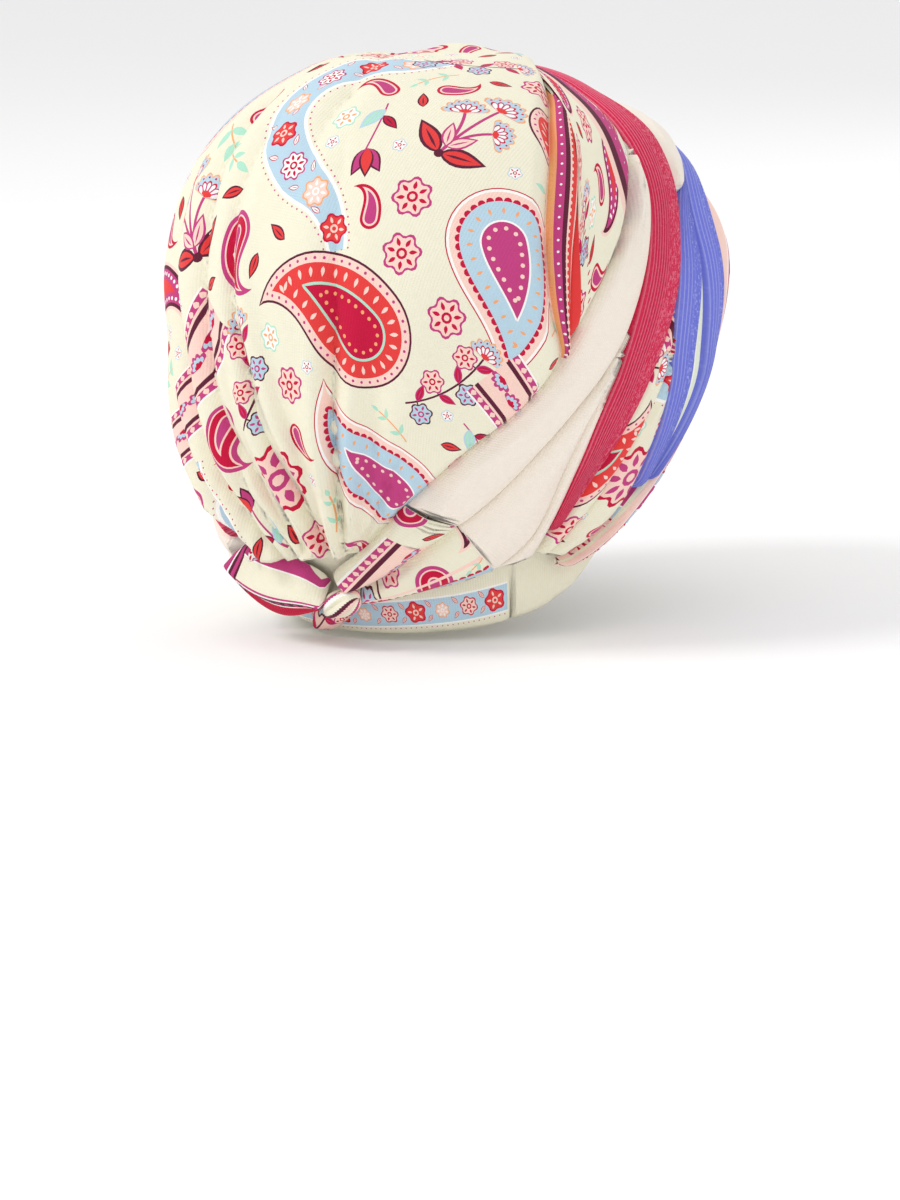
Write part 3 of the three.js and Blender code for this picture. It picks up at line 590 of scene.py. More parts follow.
def garland(length, width, bends):
    """A flowered ribbon that winds; bends are the radians it turns in each stretch."""
    heading, at, path = 0.0, np.zeros(2), [np.zeros(2)]
    for bend in bends:
        for _ in range(8):
            heading += bend / 8
            at = at + np.array([math.cos(heading), math.sin(heading)]) * length / len(bends) / 8
            path.append(at)
    path = np.array(path)
    share = np.linspace(0, 1, len(path))
    half = width / 2 * np.minimum(1, 0.35 + 2.6 * np.minimum(share, 1 - share))
    tangent = unit(np.gradient(path, axis=0))
    normal = np.stack([-tangent[:, 1], tangent[:, 0]], 1)

    def strip(extra):
        reach = (half + extra)[:, None]
        return np.vstack([path + normal * reach, (path - normal * reach)[::-1]])

    shapes = []
    for at, heading in spaced(strip(1.9), 2.3):
        shapes.append((disc(0.32, 6) + at, "magenta"))
    shapes += [(strip(1.1), "white"), (strip(0.0), "sky")]
    inks = (("crimson", "coral", "blush"), ("apricot", "blush", "white"), ("magenta", "white", "crimson"))
    for k, (at, heading) in enumerate(spaced(path, width * 0.98, closed=False)):
        shapes += moved_shapes(rosette(width * 0.36, 6 + k % 3, inks[k % 3]), heading + k, at)
        for side in (-1, 1):
            spot = turned([(width * 0.46, side * width * 0.22)], heading, at)[0]
            if inside(np.array([spot]), strip(-0.8))[0]:
                shapes += moved_shapes(leaf(width * 0.3, "white", "crimson"), heading + side * 0.7, spot)
    return shapes


def border(length, width, bend):
    """A striped border with pointed teeth and small fans along its middle."""
    path = bow(length, bend, 24)
    path = path - path[len(path) // 2]
    shapes = []
    for share, ink in ((1.0, "white"), (0.94, "magenta"), (0.74, "blush"), (0.66, "plum"), (0.52, "blush")):
        shapes.append((band(path, width * share), ink))
    tangent = unit(np.gradient(path, axis=0))
    normal = np.stack([-tangent[:, 1], tangent[:, 0]], 1)
    for side in (-1, 1):
        line = path + normal * side * width * 0.37
        tooth = petal(width * 0.1, width * 0.09, 4)
        for at, heading in spaced(line, width * 0.14, closed=False):
            shapes.append((turned(tooth, heading + side * math.pi / 2, at), "blush"))
    small_fan = [(fan(width * 0.2, 5, 0.2, 1.3), "magenta"), (fan(width * 0.15, 5, 0.2, 1.2), "sky"),
                 (fan(width * 0.09, 3, 0.2, 1.2), "crimson")]
    for k, (at, heading) in enumerate(spaced(path, width * 0.34, closed=False)):
        turn = heading + (math.pi if k % 2 else 0)
        aside = width * 0.1 if k % 2 else -width * 0.1
        shapes += moved_shapes(small_fan, turn, turned([(0, aside)], heading, at)[0])
    return shapes


def cluster(size):
    """A climbing cluster of small magenta flowers on one curled stem."""
    path = bow(size, 0.9)
    shapes = [(band(path, 0.7), "plum")]
    for k, (at, heading) in enumerate(spaced(path, size / 5, closed=False)):
        side = 1 if k % 2 else -1
        spot = turned([(0, side * size * 0.14)], heading, at)[0]
        shapes.append((band(np.array([at, spot]), 0.5), "plum"))
        shapes += moved_shapes(leaf(size * 0.2, "crimson", "magenta"), heading - side * 0.9, at)
        inks = ("magenta", "blush", "crimson") if k % 2 else ("plum", "sky", "magenta")
        shapes += moved_shapes(rosette(size * 0.13, 6, inks), k, spot)
    shapes += moved_shapes(blossom(size * 0.2), -0.7, path[-1])
    return shapes


def centred(shapes):
    low = np.min([p.min(0) for p, _ in shapes], axis=0)
    high = np.max([p.max(0) for p, _ in shapes], axis=0)
    return [(p - (low + high) / 2, ink) for p, ink in shapes]


MOTIFS = {
    "coral_drop": lambda: drop_motif("coral", 62, 34, 1.5),
    "sky_drop": lambda: drop_motif("sky", 66, 36, -1.0),
    "berry_drop": lambda: drop_motif("berry", 30, 12.5, 2.4),
    "plum_drop": lambda: drop_motif("plum", 36, 16, -2.2),
    "tiny_drop": lambda: drop_motif("tiny", 17, 6.5, 2.0),
    "garland": lambda: garland(118, 13, (0.9, -0.5, -1.1, -0.6, 1.2)),
    "garland_small": lambda: garland(66, 10, (1.3, 0.9, -0.8)),
    "posy": lambda: posy(30),
    "tulip": lambda: tulip(19),
    "sprig": lambda: sprig(24),
    "sprig_small": lambda: sprig(14, "mint", 3),
    "rosette_large": lambda: rosette(12.5, 9, ("crimson", "blush", "magenta")),
    "rosette": lambda: rosette(6.5, 7, ("magenta", "blush", "crimson")),
    "rosette_mint": lambda: rosette(4.6, 6, ("mint", "white", "apricot")),
    "border": lambda: border(74, 24, 0.7),
    "cluster": lambda: cluster(34),
    "posy_small": lambda: posy(20),
    "bud": lambda: leaf(8, "coral", "plum"),
    "speck": lambda: rosette(2.4, 5, ("sky", "white", "crimson")),
}

# The print repeats over this many millimetres both ways. Large figures have their own places:
# name, place and turn; smaller ones fill the room that is left, in this order and number.
REPEAT = 330
LARGE = (
    ("garland", (18, 20), 1.9),
    ("coral_drop", (46, -38), 2.6),
    ("sky_drop", (-44, 34), 0.9),
    ("posy", (60, 34), -0.2),
    ("border", (-34, -66), 0.35),
    ("posy", (-30, -14), 0.5),
    ("rosette_large", (-78, -12), 0),
    ("sky_drop", (96, -8), 5.4),
    ("cluster", (8, -62), 1.2),
    ("cluster", (88, -46), 0.4),
    ("sky_drop", (60, -88), 2.6),
    ("rosette_large", (20, -98), 0.4),
    ("border", (122, -62), 1.9),
    ("cluster", (34, 66), 0.1),
    ("rosette_large", (-8, 74), 0),
    ("coral_drop", (92, 62), 0.6),
    ("garland", (-104, 74), 0.7),
    ("coral_drop", (-100, -60), 4.1),
    ("border", (22, 118), 2.9),
    ("sky_drop", (-30, 150), 2.0),
    ("garland_small", (-20, -122), 0.2),
    ("posy", (100, -112), 2.2),
    ("posy", (-128, 14), 3.9),
    ("rosette_large", (150, 86), 0.3),
    ("cluster", (140, 20), 2.0),
)
FILLERS = (("cluster", 6), ("plum_drop", 12), ("posy_small", 10), ("tulip", 14), ("berry_drop", 16),
           ("garland_small", 8), ("sprig", 16), ("rosette", 26), ("tiny_drop", 34), ("sprig_small", 30),
           ("rosette_mint", 60), ("bud", 60), ("speck", 90))
CLEAR = 1.5     # room kept round each figure, mm
CELL = 1.5      # cell of the map that keeps them apart, mm
TURNS = 14      # ways that a small figure may be turned
TRIES = 1500    # places tried for each kind of small figure
MAP_SHAPES = 12     # largest shapes of a figure that the map looks at
# Shares of the repeat by which the tried places step on, so that they fill it evenly
STEP_ALONG = 0.754877666
STEP_UP = 0.569840291


def covered(shapes, grown):
    """Cells that a figure covers, with room round it."""
    cells = set()
    for polygon, _ in shapes:
        low, high = polygon.min(0) - grown, polygon.max(0) + grown
        xs = np.arange(math.floor(low[0] / CELL), math.ceil(high[0] / CELL) + 1)
        ys = np.arange(math.floor(low[1] / CELL), math.ceil(high[1] / CELL) + 1)
        grid = np.stack(np.meshgrid(xs, ys, indexing="ij"), -1).reshape(-1, 2)
        hit = inside(grid * CELL, polygon)
        hit |= near_line(grid * CELL, np.vstack([polygon, polygon[:1]]))[0] < grown
        cells.update(map(tuple, grid[hit]))
    return np.array(sorted(cells))


def lay_print():
    """All figures of one repeat: (shapes, middle, radius)."""
    size = int(REPEAT / CELL)
    taken = np.zeros((size, size), bool)
    placed = []
    library = {name: centred(make()) for name, make in MOTIFS.items()}
    outer = {
        name: sorted(shapes, key=lambda s: -np.ptp(s[0], axis=0).prod())[:MAP_SHAPES]
        for name, shapes in library.items()
    }
    covers = {}

    def put(name, at, turn):
        shapes = moved_shapes(library[name], turn, at)
        radius = max(np.linalg.norm(p - np.array(at), axis=1).max() for p, _ in shapes)
        placed.append((shapes, np.array(at, float), radius))

    for name, at, turn in LARGE:
        cells = covered(moved_shapes(outer[name], turn, at), CLEAR) % size
        taken[cells[:, 0], cells[:, 1]] = True
        put(name, at, turn)
    step = 0
    for name, count in FILLERS:
        left, tries = count, TRIES
        while left and tries:
            step += 1
            tries -= 1
            way = step % TURNS
            turn = way * 2 * math.pi / TURNS
            if (name, way) not in covers:
                covers[name, way] = covered(moved_shapes(outer[name], turn), CLEAR)
            spot = np.array([int(step * STEP_ALONG % 1 * size), int(step * STEP_UP % 1 * size)])
            cells = (covers[name, way] + spot) % size
            if not taken[cells[:, 0], cells[:, 1]].any():
                taken[cells[:, 0], cells[:, 1]] = True
                put(name, tuple(spot * CELL), turn)
                left -= 1
    return placed


PRINT = lay_print()


def cut_print(outline, cut):
    """Shapes of the print that fall on a piece; cut is (u, v, turn) of the piece on the cloth."""
    low, high = outline.min(0), outline.max(0)
    middle, reach = (low + high) / 2, np.linalg.norm(high - low) / 2
    u, v, turn = cut
    shapes = []
    centre = turned([middle], turn, (u, v))[0]
    for figure, at, radius in PRINT:
        for i in (-2, -1, 0, 1):
            for j in (-2, -1, 0, 1):
                shift = np.array([i, j]) * REPEAT
                if np.linalg.norm(at + shift - centre) > reach + radius:
                    continue
                back = turned([at + shift - np.array([u, v])], -turn)[0]
                if (back < low - radius).any() or (back > high + radius).any():
                    continue
                for polygon, ink in figure:
                    shapes.append((turned(polygon + shift - np.array([u, v]), -turn), ink))
    return shapes


def lattice(outline, spacing, keep=None):
    low, high = outline.min(0), outline.max(0)
    rows = np.arange(low[1], high[1], spacing * 0.866)
    grid = [
        np.stack([np.arange(low[0] + (k % 2) * spacing / 2, high[0], spacing),
                  np.full(len(np.arange(low[0] + (k % 2) * spacing / 2, high[0], spacing)), y)], 1)
        for k, y in enumerate(rows)
    ]
    grid = np.vstack(grid) if grid else np.zeros((0, 2))
    if keep is not None:
        grid = grid[keep(grid)]
    grid = grid[inside(grid, outline)]
    if len(grid):
        away, _ = near_line(grid, np.vstack([outline, outline[:1]]))
        grid = grid[away > spacing * 0.45]
    return grid


def triangulate(outline, shapes, grid):
    """Triangles of the outline with every shape's edge kept, and the top shape of each."""
    loops, inks = [outline], []
    for polygon, ink in shapes:
        if inside(polygon, outline).any() or inside(outline, polygon).any():
            loops.append(polygon)
            inks.append(INK_NAMES.index(ink))
    starts = np.cumsum([0] + [len(loop) for loop in loops])
    edges = []
    for start, loop in zip(starts, loops):
        edges += [(int(start) + k, int(start) + (k + 1) % len(loop)) for k in range(len(loop))]
    points = np.vstack(loops + ([grid] if len(grid) else []))
    verts, _, tris, _, _, _ = delaunay_2d_cdt([Vector(p) for p in points.tolist()], edges, [], 0, 1e-5, False)
    flat, tris = np.array([tuple(v) for v in verts]), np.array(tris)
    middles = flat[tris].mean(1)
    kept = inside(middles, outline)
    tris, middles = tris[kept], middles[kept]
    top = np.zeros(len(tris), int)
    order = np.argsort(middles[:, 0])
    sorted_x = middles[order, 0]
    for polygon, ink in zip(loops[1:], inks):
        low, high = polygon.min(0), polygon.max(0)
        near = order[np.searchsorted(sorted_x, low[0]) : np.searchsorted(sorted_x, high[0])]
        near = near[(middles[near, 1] >= low[1]) & (middles[near, 1] <= high[1])]
        if len(near):
            top[near[inside(middles[near], polygon)]] = ink + 1
    used, index = np.unique(tris, return_inverse=True)
    return flat[used], index.reshape(-1, 3), top - 1


def rim_of(tris):
    """Vertices round the edge of a triangulated patch, in order."""
    edges = {}
    for a, b in np.vstack([tris[:, [0, 1]], tris[:, [1, 2]], tris[:, [2, 0]]]):
        edges[(a, b)] = True
    after = {a: b for a, b in edges if (b, a) not in edges}
    start = next(iter(after))
    loop = [start]
    while after[loop[-1]] != start:
        loop.append(after[loop[-1]])
    if len(loop) != len(after):
        raise RuntimeError("a piece of cloth has more than one edge")
    return np.array(loop)


def surface_normals(place, flat, level, out):
    step = 0.2
    du, dv = np.array([step, 0]), np.array([0, step])
    across = np.cross(place(flat + du, level) - place(flat - du, level),
                      place(flat + dv, level) - place(flat - dv, level))
    across /= np.maximum(np.linalg.norm(across, axis=1, keepdims=True), 1e-12)
    facing = np.sum(across * out, axis=1, keepdims=True)
    return across * np.where(facing < 0, -1, 1)


def cloth(name, outline, place, outward, material, shapes=(), spacing=2.5, keep=None, coarse=6.0,
          ground="cream"):
    """A sheet of cloth with an outer and an inner face. place(flat, level) gives millimetres."""
    grid = lattice(outline, spacing, keep)
    if keep is not None:
        rest = lattice(outline, coarse)
        grid = np.vstack([grid, rest[~keep(rest)]])
    flat, tris, inks = triangulate(outline, shapes, grid)
    inks = np.where(inks < 0, INK_NAMES.index(ground), inks)
    rim = rim_of(tris)
    inner_flat, inner_tris, _ = triangulate(flat[rim], (), lattice(flat[rim], coarse))
    # The inner triangulation keeps the rim's points, which are looked up by place
    lookup = {(round(x, 3), round(y, 3)): k for k, (x, y) in enumerate(inner_flat)}
    inner_rim = np.array([lookup[(round(x, 3), round(y, 3))] for x, y in flat[rim]])
    outer = place(flat, 0)
    inner = place(inner_flat, 1)
    outer_n = surface_normals(place, flat, 0, outward(flat))
    inner_n = -surface_normals(place, inner_flat, 1, outward(inner_flat))
    corner = outer[tris]
    facing = np.cross(corner[:, 1] - corner[:, 0], corner[:, 2] - corner[:, 0])
    flipped = np.sum(facing * outward(flat[tris].mean(1))) < 0
    count = len(outer)
    after = np.roll(np.arange(len(rim)), -1)
    side_a = np.stack([rim, inner_rim + count, rim[after]], 1)
    side_b = np.stack([rim[after], inner_rim + count, inner_rim[after] + count], 1)
    faces = np.vstack([tris, inner_tris[:, ::-1] + count, side_a, side_b])
    if flipped:
        faces = faces[:, ::-1]
    positions = np.vstack([outer, inner]) * MM
    flats = np.vstack([flat, inner_flat])
    normals = np.vstack([outer_n, inner_n])
    face_inks = np.concatenate([inks, np.full(len(faces) - len(tris), INK_NAMES.index(ground))])
    return make_object(name, positions, faces, normals, flats, face_inks, material)


def make_object(name, positions, faces, normals, flats, face_inks, material):
    mesh = bpy.data.meshes.new(name)
    mesh.from_pydata(positions.tolist(), [], faces.tolist())
    mesh.update()
    mesh.shade_smooth()
    corners = faces.reshape(-1)
    layer = mesh.uv_layers.new(name="cloth")
    layer.data.foreach_set("uv", (flats[corners] * MM).astype(np.float32).reshape(-1))
    colours = np.array([linear(INKS[k]) + [1.0] for k in INK_NAMES], np.float32)
    ink = mesh.attributes.new("ink", "FLOAT_COLOR", "CORNER")
    ink.data.foreach_set("color", np.repeat(colours[face_inks], 3, axis=0).reshape(-1))
    mesh.normals_split_custom_set_from_vertices(normals.tolist())
    mesh.materials.append(material)
    piece = bpy.data.objects.new(name, mesh)
    bpy.context.collection.objects.link(piece)
    return piece


def add(tree, kind, inputs=(), **settings):
    """Adds a node with its settings; inputs are values or sockets to link, by name or number."""
    node = tree.nodes.new(kind)
    for key, value in settings.items():
        setattr(node, key, value)
    for key, value in dict(inputs).items():
        if isinstance(value, bpy.types.NodeSocket):
            tree.links.new(value, node.inputs[key])
        else:
            node.inputs[key].default_value = value
    return node


def new_material(name):
    material = bpy.data.materials.new(name)
    material.use_nodes = True
    material.node_tree.nodes.clear()
    return material, material.node_tree


STITCH = 1.0       # width of a knit stitch, mm; the real one is near 0.5 and would not show
ROW = 0.8          # height of a knit row, mm


def knit_height(tree, stitch, row):
    """Height of a plain knit: columns of little Vs, from the cloth's own flat coordinates."""
    place = add(tree, "ShaderNodeUVMap", uv_map="cloth")
    split = add(tree, "ShaderNodeSeparateXYZ", {0: place.outputs[0]})
    column = add(tree, "ShaderNodeMath", {0: split.outputs[0], 1: math.pi / (stitch * MM)},
                 operation="MULTIPLY")
    wave = add(tree, "ShaderNodeMath", {0: column.outputs[0]}, operation="SINE")
    leg = add(tree, "ShaderNodeMath", {0: wave.outputs[0]}, operation="ABSOLUTE")
    course = add(tree, "ShaderNodeMath", {0: split.outputs[1], 1: 2 * math.pi / (row * MM)},
                 operation="MULTIPLY")
    slant = add(tree, "ShaderNodeMath", {0: leg.outputs[0], 1: 2.2, 2: course.outputs[0]},
                operation="MULTIPLY_ADD")
    loops = add(tree, "ShaderNodeMath", {0: slant.outputs[0]}, operation="SINE")
    return add(tree, "ShaderNodeMath", {0: loops.outputs[0], 1: 0.35, 2: leg.outputs[0]},
               operation="MULTIPLY_ADD")


def jersey(name, colour=None):
    """Viscose jersey, knitted and printed: matt, faintly fuzzy, with fine columns of stitches."""
    material, tree = new_material(name)
    where = add(tree, "ShaderNodeTexCoord")
    mottle = add(tree, "ShaderNodeTexNoise", {"Vector": where.outputs["Object"], "Scale": 420.0, "Detail": 3.0})
    if colour is None:
        ink = add(tree, "ShaderNodeAttribute", attribute_name="ink").outputs["Color"]
    else:
        ink = add(tree, "ShaderNodeRGB").outputs[0]
        ink.default_value = (*colour, 1)
    worn = add(tree, "ShaderNodeMapRange", {"Value": mottle.outputs[0], "From Min": 0.3, "From Max": 0.7,
                                            "To Min": 0.0, "To Max": 0.10})
    shade = add(tree, "ShaderNodeMix", {0: worn.outputs[0], 6: ink, 7: (0.78, 0.72, 0.62, 1)},
                data_type="RGBA", blend_type="MULTIPLY")
    height = knit_height(tree, STITCH, ROW)
    bump = add(tree, "ShaderNodeBump", {"Strength": 0.35, "Distance": 0.00022, "Height": height.outputs[0]})
    shader = add(tree, "ShaderNodeBsdfPrincipled", {
        "Base Color": shade.outputs[2], "Roughness": 0.88, "Specular IOR Level": 0.16,
        "Sheen Weight": 0.08, "Sheen Roughness": 0.5, "Normal": bump.outputs[0]})
    add(tree, "ShaderNodeOutputMaterial", {"Surface": shader.outputs[0]})
    return material


def ribbon(name, dark, light, rib_highlight_share, sparkle):
    """Ribbed knit ribbon with a glitter yarn: fine cords along it, with bright flecks on them. The bright
    flecks are painted glints and the lighter cord crests are painted highlight.
    """
    material, tree = new_material(name)
    place = add(tree, "ShaderNodeUVMap", uv_map="cloth")
    split = add(tree, "ShaderNodeSeparateXYZ", {0: place.outputs[0]})
    turn = add(tree, "ShaderNodeMath", {0: split.outputs[1], 1: 2 * math.pi / (RIB_PITCH * MM)},
               operation="MULTIPLY")
    wave = add(tree, "ShaderNodeMath", {0: turn.outputs[0]}, operation="SINE")
    ribs = add(tree, "ShaderNodeMapRange", {"Value": wave.outputs[0], "From Min": 0.2, "From Max": 0.9})
    # Flecks are longer along the ribbon than across it, as the flat glitter yarn lies
    stretch = add(tree, "ShaderNodeMapping", {0: place.outputs[0], 3: (1300.0, 2800.0, 1.0)})
    flecks = add(tree, "ShaderNodeTexVoronoi", {"Vector": stretch.outputs[0], "Scale": 1.0})
    spots = add(tree, "ShaderNodeSeparateColor", {0: flecks.outputs["Color"]})
    # Painted glints: bright flecks of the glitter yarn, mixed into the base colour towards the light colour
    bright = add(tree, "ShaderNodeMapRange", {"Value": spots.outputs[0], "From Min": 1 - sparkle,
                                              "From Max": 1.0, "To Max": 0.8})
    front = add(tree, "ShaderNodeAttribute", attribute_name="glitter")
    lit = add(tree, "ShaderNodeMath", {0: bright.outputs[0], 1: front.outputs["Fac"]}, operation="MULTIPLY")
    rear = add(tree, "ShaderNodeMath", {0: 1.0, 1: front.outputs["Fac"]}, operation="SUBTRACT")
    # Painted highlight: the crests of the ribs are made lighter by the same waves that bump them, away from the
    # glitter
    crest_highlight = add(tree, "ShaderNodeMath", {0: ribs.outputs[0], 1: rear.outputs[0]}, operation="MULTIPLY")
    share = add(tree, "ShaderNodeMath", {0: crest_highlight.outputs[0], 1: rib_highlight_share, 2: lit.outputs[0]},
                operation="MULTIPLY_ADD")
    # The light colour here is painted highlight on the rib crests and painted glint on the flecks
    colour = add(tree, "ShaderNodeMix", {0: share.outputs[0], 6: (*dark, 1), 7: (*light, 1)},
                 data_type="RGBA")
    height = add(tree, "ShaderNodeMath", {0: ribs.outputs[0], 1: bright.outputs[0]}, operation="ADD")
    bump = add(tree, "ShaderNodeBump", {"Strength": 0.6, "Distance": 0.0004, "Height": height.outputs[0]})
    gloss = add(tree, "ShaderNodeMapRange", {"Value": lit.outputs[0], "To Min": 0.7, "To Max": 0.4})
    shader = add(tree, "ShaderNodeBsdfPrincipled", {
        "Base Color": colour.outputs[2], "Roughness": gloss.outputs[0], "Specular IOR Level": 0.2,
        "Normal": bump.outputs[0]})
    add(tree, "ShaderNodeOutputMaterial", {"Surface": shader.outputs[0]})
    return material


def floor_paint(name, colour):
    """Matt emulsion on a studio floor: even, with no visible grain."""
    material, tree = new_material(name)
    where = add(tree, "ShaderNodeTexCoord")
    grain = add(tree, "ShaderNodeTexNoise", {"Vector": where.outputs["Object"], "Scale": 180.0})
    bump = add(tree, "ShaderNodeBump", {"Strength": 0.04, "Distance": 0.0005, "Height": grain.outputs[0]})
    shader = add(tree, "ShaderNodeBsdfPrincipled", {
        "Base Color": (*colour, 1), "Roughness": 0.9, "Normal": bump.outputs[0]})
    add(tree, "ShaderNodeOutputMaterial", {"Surface": shader.outputs[0]})
    return material


MATERIALS = {
    "print": ("printed_viscose_jersey", lambda look, name: jersey(name)),
    "plain": ("undyed_viscose_jersey", lambda look, name: jersey(name, look.plain)),
    "hem": ("printed_hem_jersey", lambda look, name: jersey(name)),
    # The second colour of each ribbon is painted light: glints on its flecks and highlight on its rib crests,
    # white on the pale strip
    "red": ("crimson_glitter_rib_knit", lambda look, name: ribbon(name, look.red, look.red_highlight_paint, 0.62, 0.5)),
    "blue": ("blue_glitter_rib_knit", lambda look, name: ribbon(name, look.blue, look.blue_glitter, 0.55, 0.3)),
    "pale": ("pale_rib_knit", lambda look, name: ribbon(name, look.pale, linear("FFFFFF"), 0.6, 0.1)),
}


def material_for(kind):
    """Each cloth's material, made once."""
    name, make = MATERIALS[kind]
    return bpy.data.materials.get(name) or make(bpy.context.scene.turban_colours, name)


def finish_piece(piece, node):
    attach(piece, "root")
    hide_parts(node)
    return piece


# The bag is cut flat round its middle, with one axis level and the other up the back
BAG_MIDDLE = ball(172, 38)
BAG_EAST = unit(np.cross(np.array([0, 0, 1.0]), BAG_MIDDLE))
BAG_NORTH = np.cross(BAG_MIDDLE, BAG_EAST)
BALL_MM = 100.0    # one radian of the ball is about this long on the cloth
LOW_END = ball(180, -40.5)
FRONT_END = ball(0, 5)
BAG_SPREAD = 107
GATHER_SIDE = 27
GATHER_HALF = 32
FRONT_GATHER_HALF = 30

wrap_edge_right = table_curve(WRAP_EDGE["up"], WRAP_EDGE["right"])
wrap_edge_left = table_curve(WRAP_EDGE["up"], WRAP_EDGE["left"])


def bag_ball(flat):
    """Direction for flat millimetres measured out from the middle of the bag's back."""
    reach = np.linalg.norm(flat, axis=-1)
    theta = reach / BALL_MM
    safe = np.maximum(reach, 1e-9)[..., None]
    side = (BAG_EAST * flat[..., :1] + BAG_NORTH * flat[..., 1:]) / safe
    return BAG_MIDDLE * np.cos(theta)[..., None] + side * np.sin(theta)[..., None]


def bag_flat(balls):
    balls = unit(balls)
    theta = np.arccos(np.clip(balls @ BAG_MIDDLE, -1, 1))
    side = np.stack([balls @ BAG_EAST, balls @ BAG_NORTH], -1)
    return side / np.maximum(np.linalg.norm(side, axis=-1, keepdims=True), 1e-9) * theta[..., None] * BALL_MM


def fan_ball(plane, along):
    """Direction on the planes that fan out from the gather at the back to the front."""
    axis = unit(FRONT_END - LOW_END)
    upward = unit(np.cross(np.array([-1.0, 0, 0]), axis))
    fan_out = np.array([-math.sin(math.radians(plane)), 0, 0]) + upward * math.cos(math.radians(plane))
    turn = along * math.pi
    ray = -axis * math.cos(turn) + fan_out * math.sin(turn)
    to_back = ((1 + math.cos(turn)) / 2) ** 2
    to_front = ((1 - math.cos(turn)) / 2) ** 2
    share = plane / BAG_SPREAD
    start = (LOW_END + FRONT_END) / 2
    aside = (GATHER_SIDE + GATHER_HALF * share) * to_back + FRONT_GATHER_HALF * share * to_front
    start[0] -= aside / HALF_WIDTH
    near, far = 0.0, 3.0
    for _ in range(34):
        reach = (near + far) / 2
        point = start + ray * reach
        near, far = (reach, far) if np.linalg.norm(point) < form_share(point) else (near, reach)
    return unit(start + ray * near)


def under_wrap(balls):
    around, up = angles(balls)
    edge = np.where(around < 0, wrap_edge_left(up), wrap_edge_right(up))
    arc = np.radians(edge - np.abs(around)) * np.cos(np.radians(up)) * HALF_WIDTH
    return smooth((arc - EDGE_BEYOND + EDGE_ROLL) / EDGE_ROLL)


def bag_outline():
    planes = np.linspace(-BAG_SPREAD, BAG_SPREAD, 60)
    alongs = np.linspace(0.004, 0.996, 70)
    balls = [fan_ball(p, alongs[0]) for p in planes]
    balls += [fan_ball(BAG_SPREAD, a) for a in alongs[1:]]
    balls += [fan_ball(p, alongs[-1]) for p in planes[::-1][1:]]
    balls += [fan_ball(-BAG_SPREAD, a) for a in alongs[::-1][1:-1]]
    return bag_flat(np.array(balls)), bag_flat(np.array(balls[:60]))


def build_bag():
    sizes = sizes_mm()
    outline, gather = bag_outline()
    lines = []
    for rows, depth_a, width_a, depth_b, width_b, sharp in BAG_FOLDS:
        points = bag_flat(np.array([ball(a, u) for a, u in rows]))
        t = np.linspace(0, len(points) - 1, len(points) * 6)
        dense = np.stack([np.interp(t, np.arange(len(points)), points[:, k]) for k in (0, 1)], 1)
        for _ in range(6):
            dense[1:-1] = (dense[:-2] + 2 * dense[1:-1] + dense[2:]) / 4
        lines.append((dense, depth_a, width_a, depth_b, width_b, sharp))

    def height(flat, balls):
        pressed = under_wrap(balls)
        away, along = near_line(flat, gather)
        turned_in = smooth(1 - away / 4)
        lift = sizes.puff * smooth(away / 60)
        for line, depth_a, width_a, depth_b, width_b, sharp in lines:
            apart, run = near_line(flat, line)
            depth = depth_a + (depth_b * 1.2 - depth_a) * smooth(run * 1.15)
            width = width_a + (width_b - width_a) * run
            ends = smooth(run / 0.12) * np.where(depth_b > 1.5, 1, smooth((1 - run) / 0.2))
            ends = ends * depth
            if sharp:
                lift -= ends * (0.45 * np.exp(-((apart / width) ** 2)) + 0.55 * np.exp(-apart / width * 1.5))
            else:
                lift -= ends * np.exp(-((apart / width) ** 2))
            # The cloth stands up a little on both sides of each fold
            lift += 0.28 * ends * np.exp(-(((apart - 2.4 * width) / (1.3 * width)) ** 2))
        # Small pleats stand along the gather and run out over a few centimetres
        waves = np.sin(along * 64 + 2.2 * np.sin(along * 21)) + 0.6 * np.sin(along * 113 + 1.0)
        lift += 1.1 * waves * np.exp(-away / 17) * smooth(away / 5)
        # The loose cloth is never quite even
        x, y = flat[:, 0], flat[:, 1]
        slow = 0.35 * np.sin(x / 13 + 1.4 * np.sin(y / 31)) * np.sin(y / 42 + 0.8)
        lift += slow + 0.25 * np.sin(x / 7.5 + y / 29)
        return -sizes.wrap_depth * np.maximum(pressed, turned_in) + lift * (1 - pressed) * (1 - turned_in)

    def place(flat, level):
        balls = bag_ball(flat)
        return skin(balls, height(flat, balls) - level * sizes.bag_wall)

    def outward(flat):
        return form_normal(bag_ball(flat))

    def shows(flat):
        return under_wrap(bag_ball(flat)) < 0.98

    shapes = [(p, ink) for p, ink in cut_print(outline, (0, 0, 0)) if shows(p).any()]
    piece = cloth("crown_bag_cloth", outline, place, outward, material_for("print"), shapes,
                  spacing=sizes.mesh_step, keep=shows, coarse=7.0)
    return finish_piece(piece, "crown_bag")


TUCK = 0.6           # how far the cloth goes under its neighbours, mm
END_TUCK = 0.03      # how far its ends go on under others, in rows of the crease table
END_ROLL = 1.1       # radius of the turned ends, mm
START_ROLL = 9.0     # a fold comes out from under the others over this length, mm
FINISH_ROLL = 5.0    # and goes back under them over this one
SEAM_LEVEL = 0.85    # a sewn end dips only to this share of its height
SEAM_ROLL = 2.0      # over this length, mm
EDGE_STEP = 2.0      # spacing of the points along an edge, mm
# How far the start and the end of a tie go on under others, in rows
TIE_TUCK = (0.02, 0.35)
# Ties with a round start or end, and the length of the rounding, mm
CAPS = {"tie_loop": (9, 3), "tie_tail": (3, 4), "red_tail": (0, 2)}


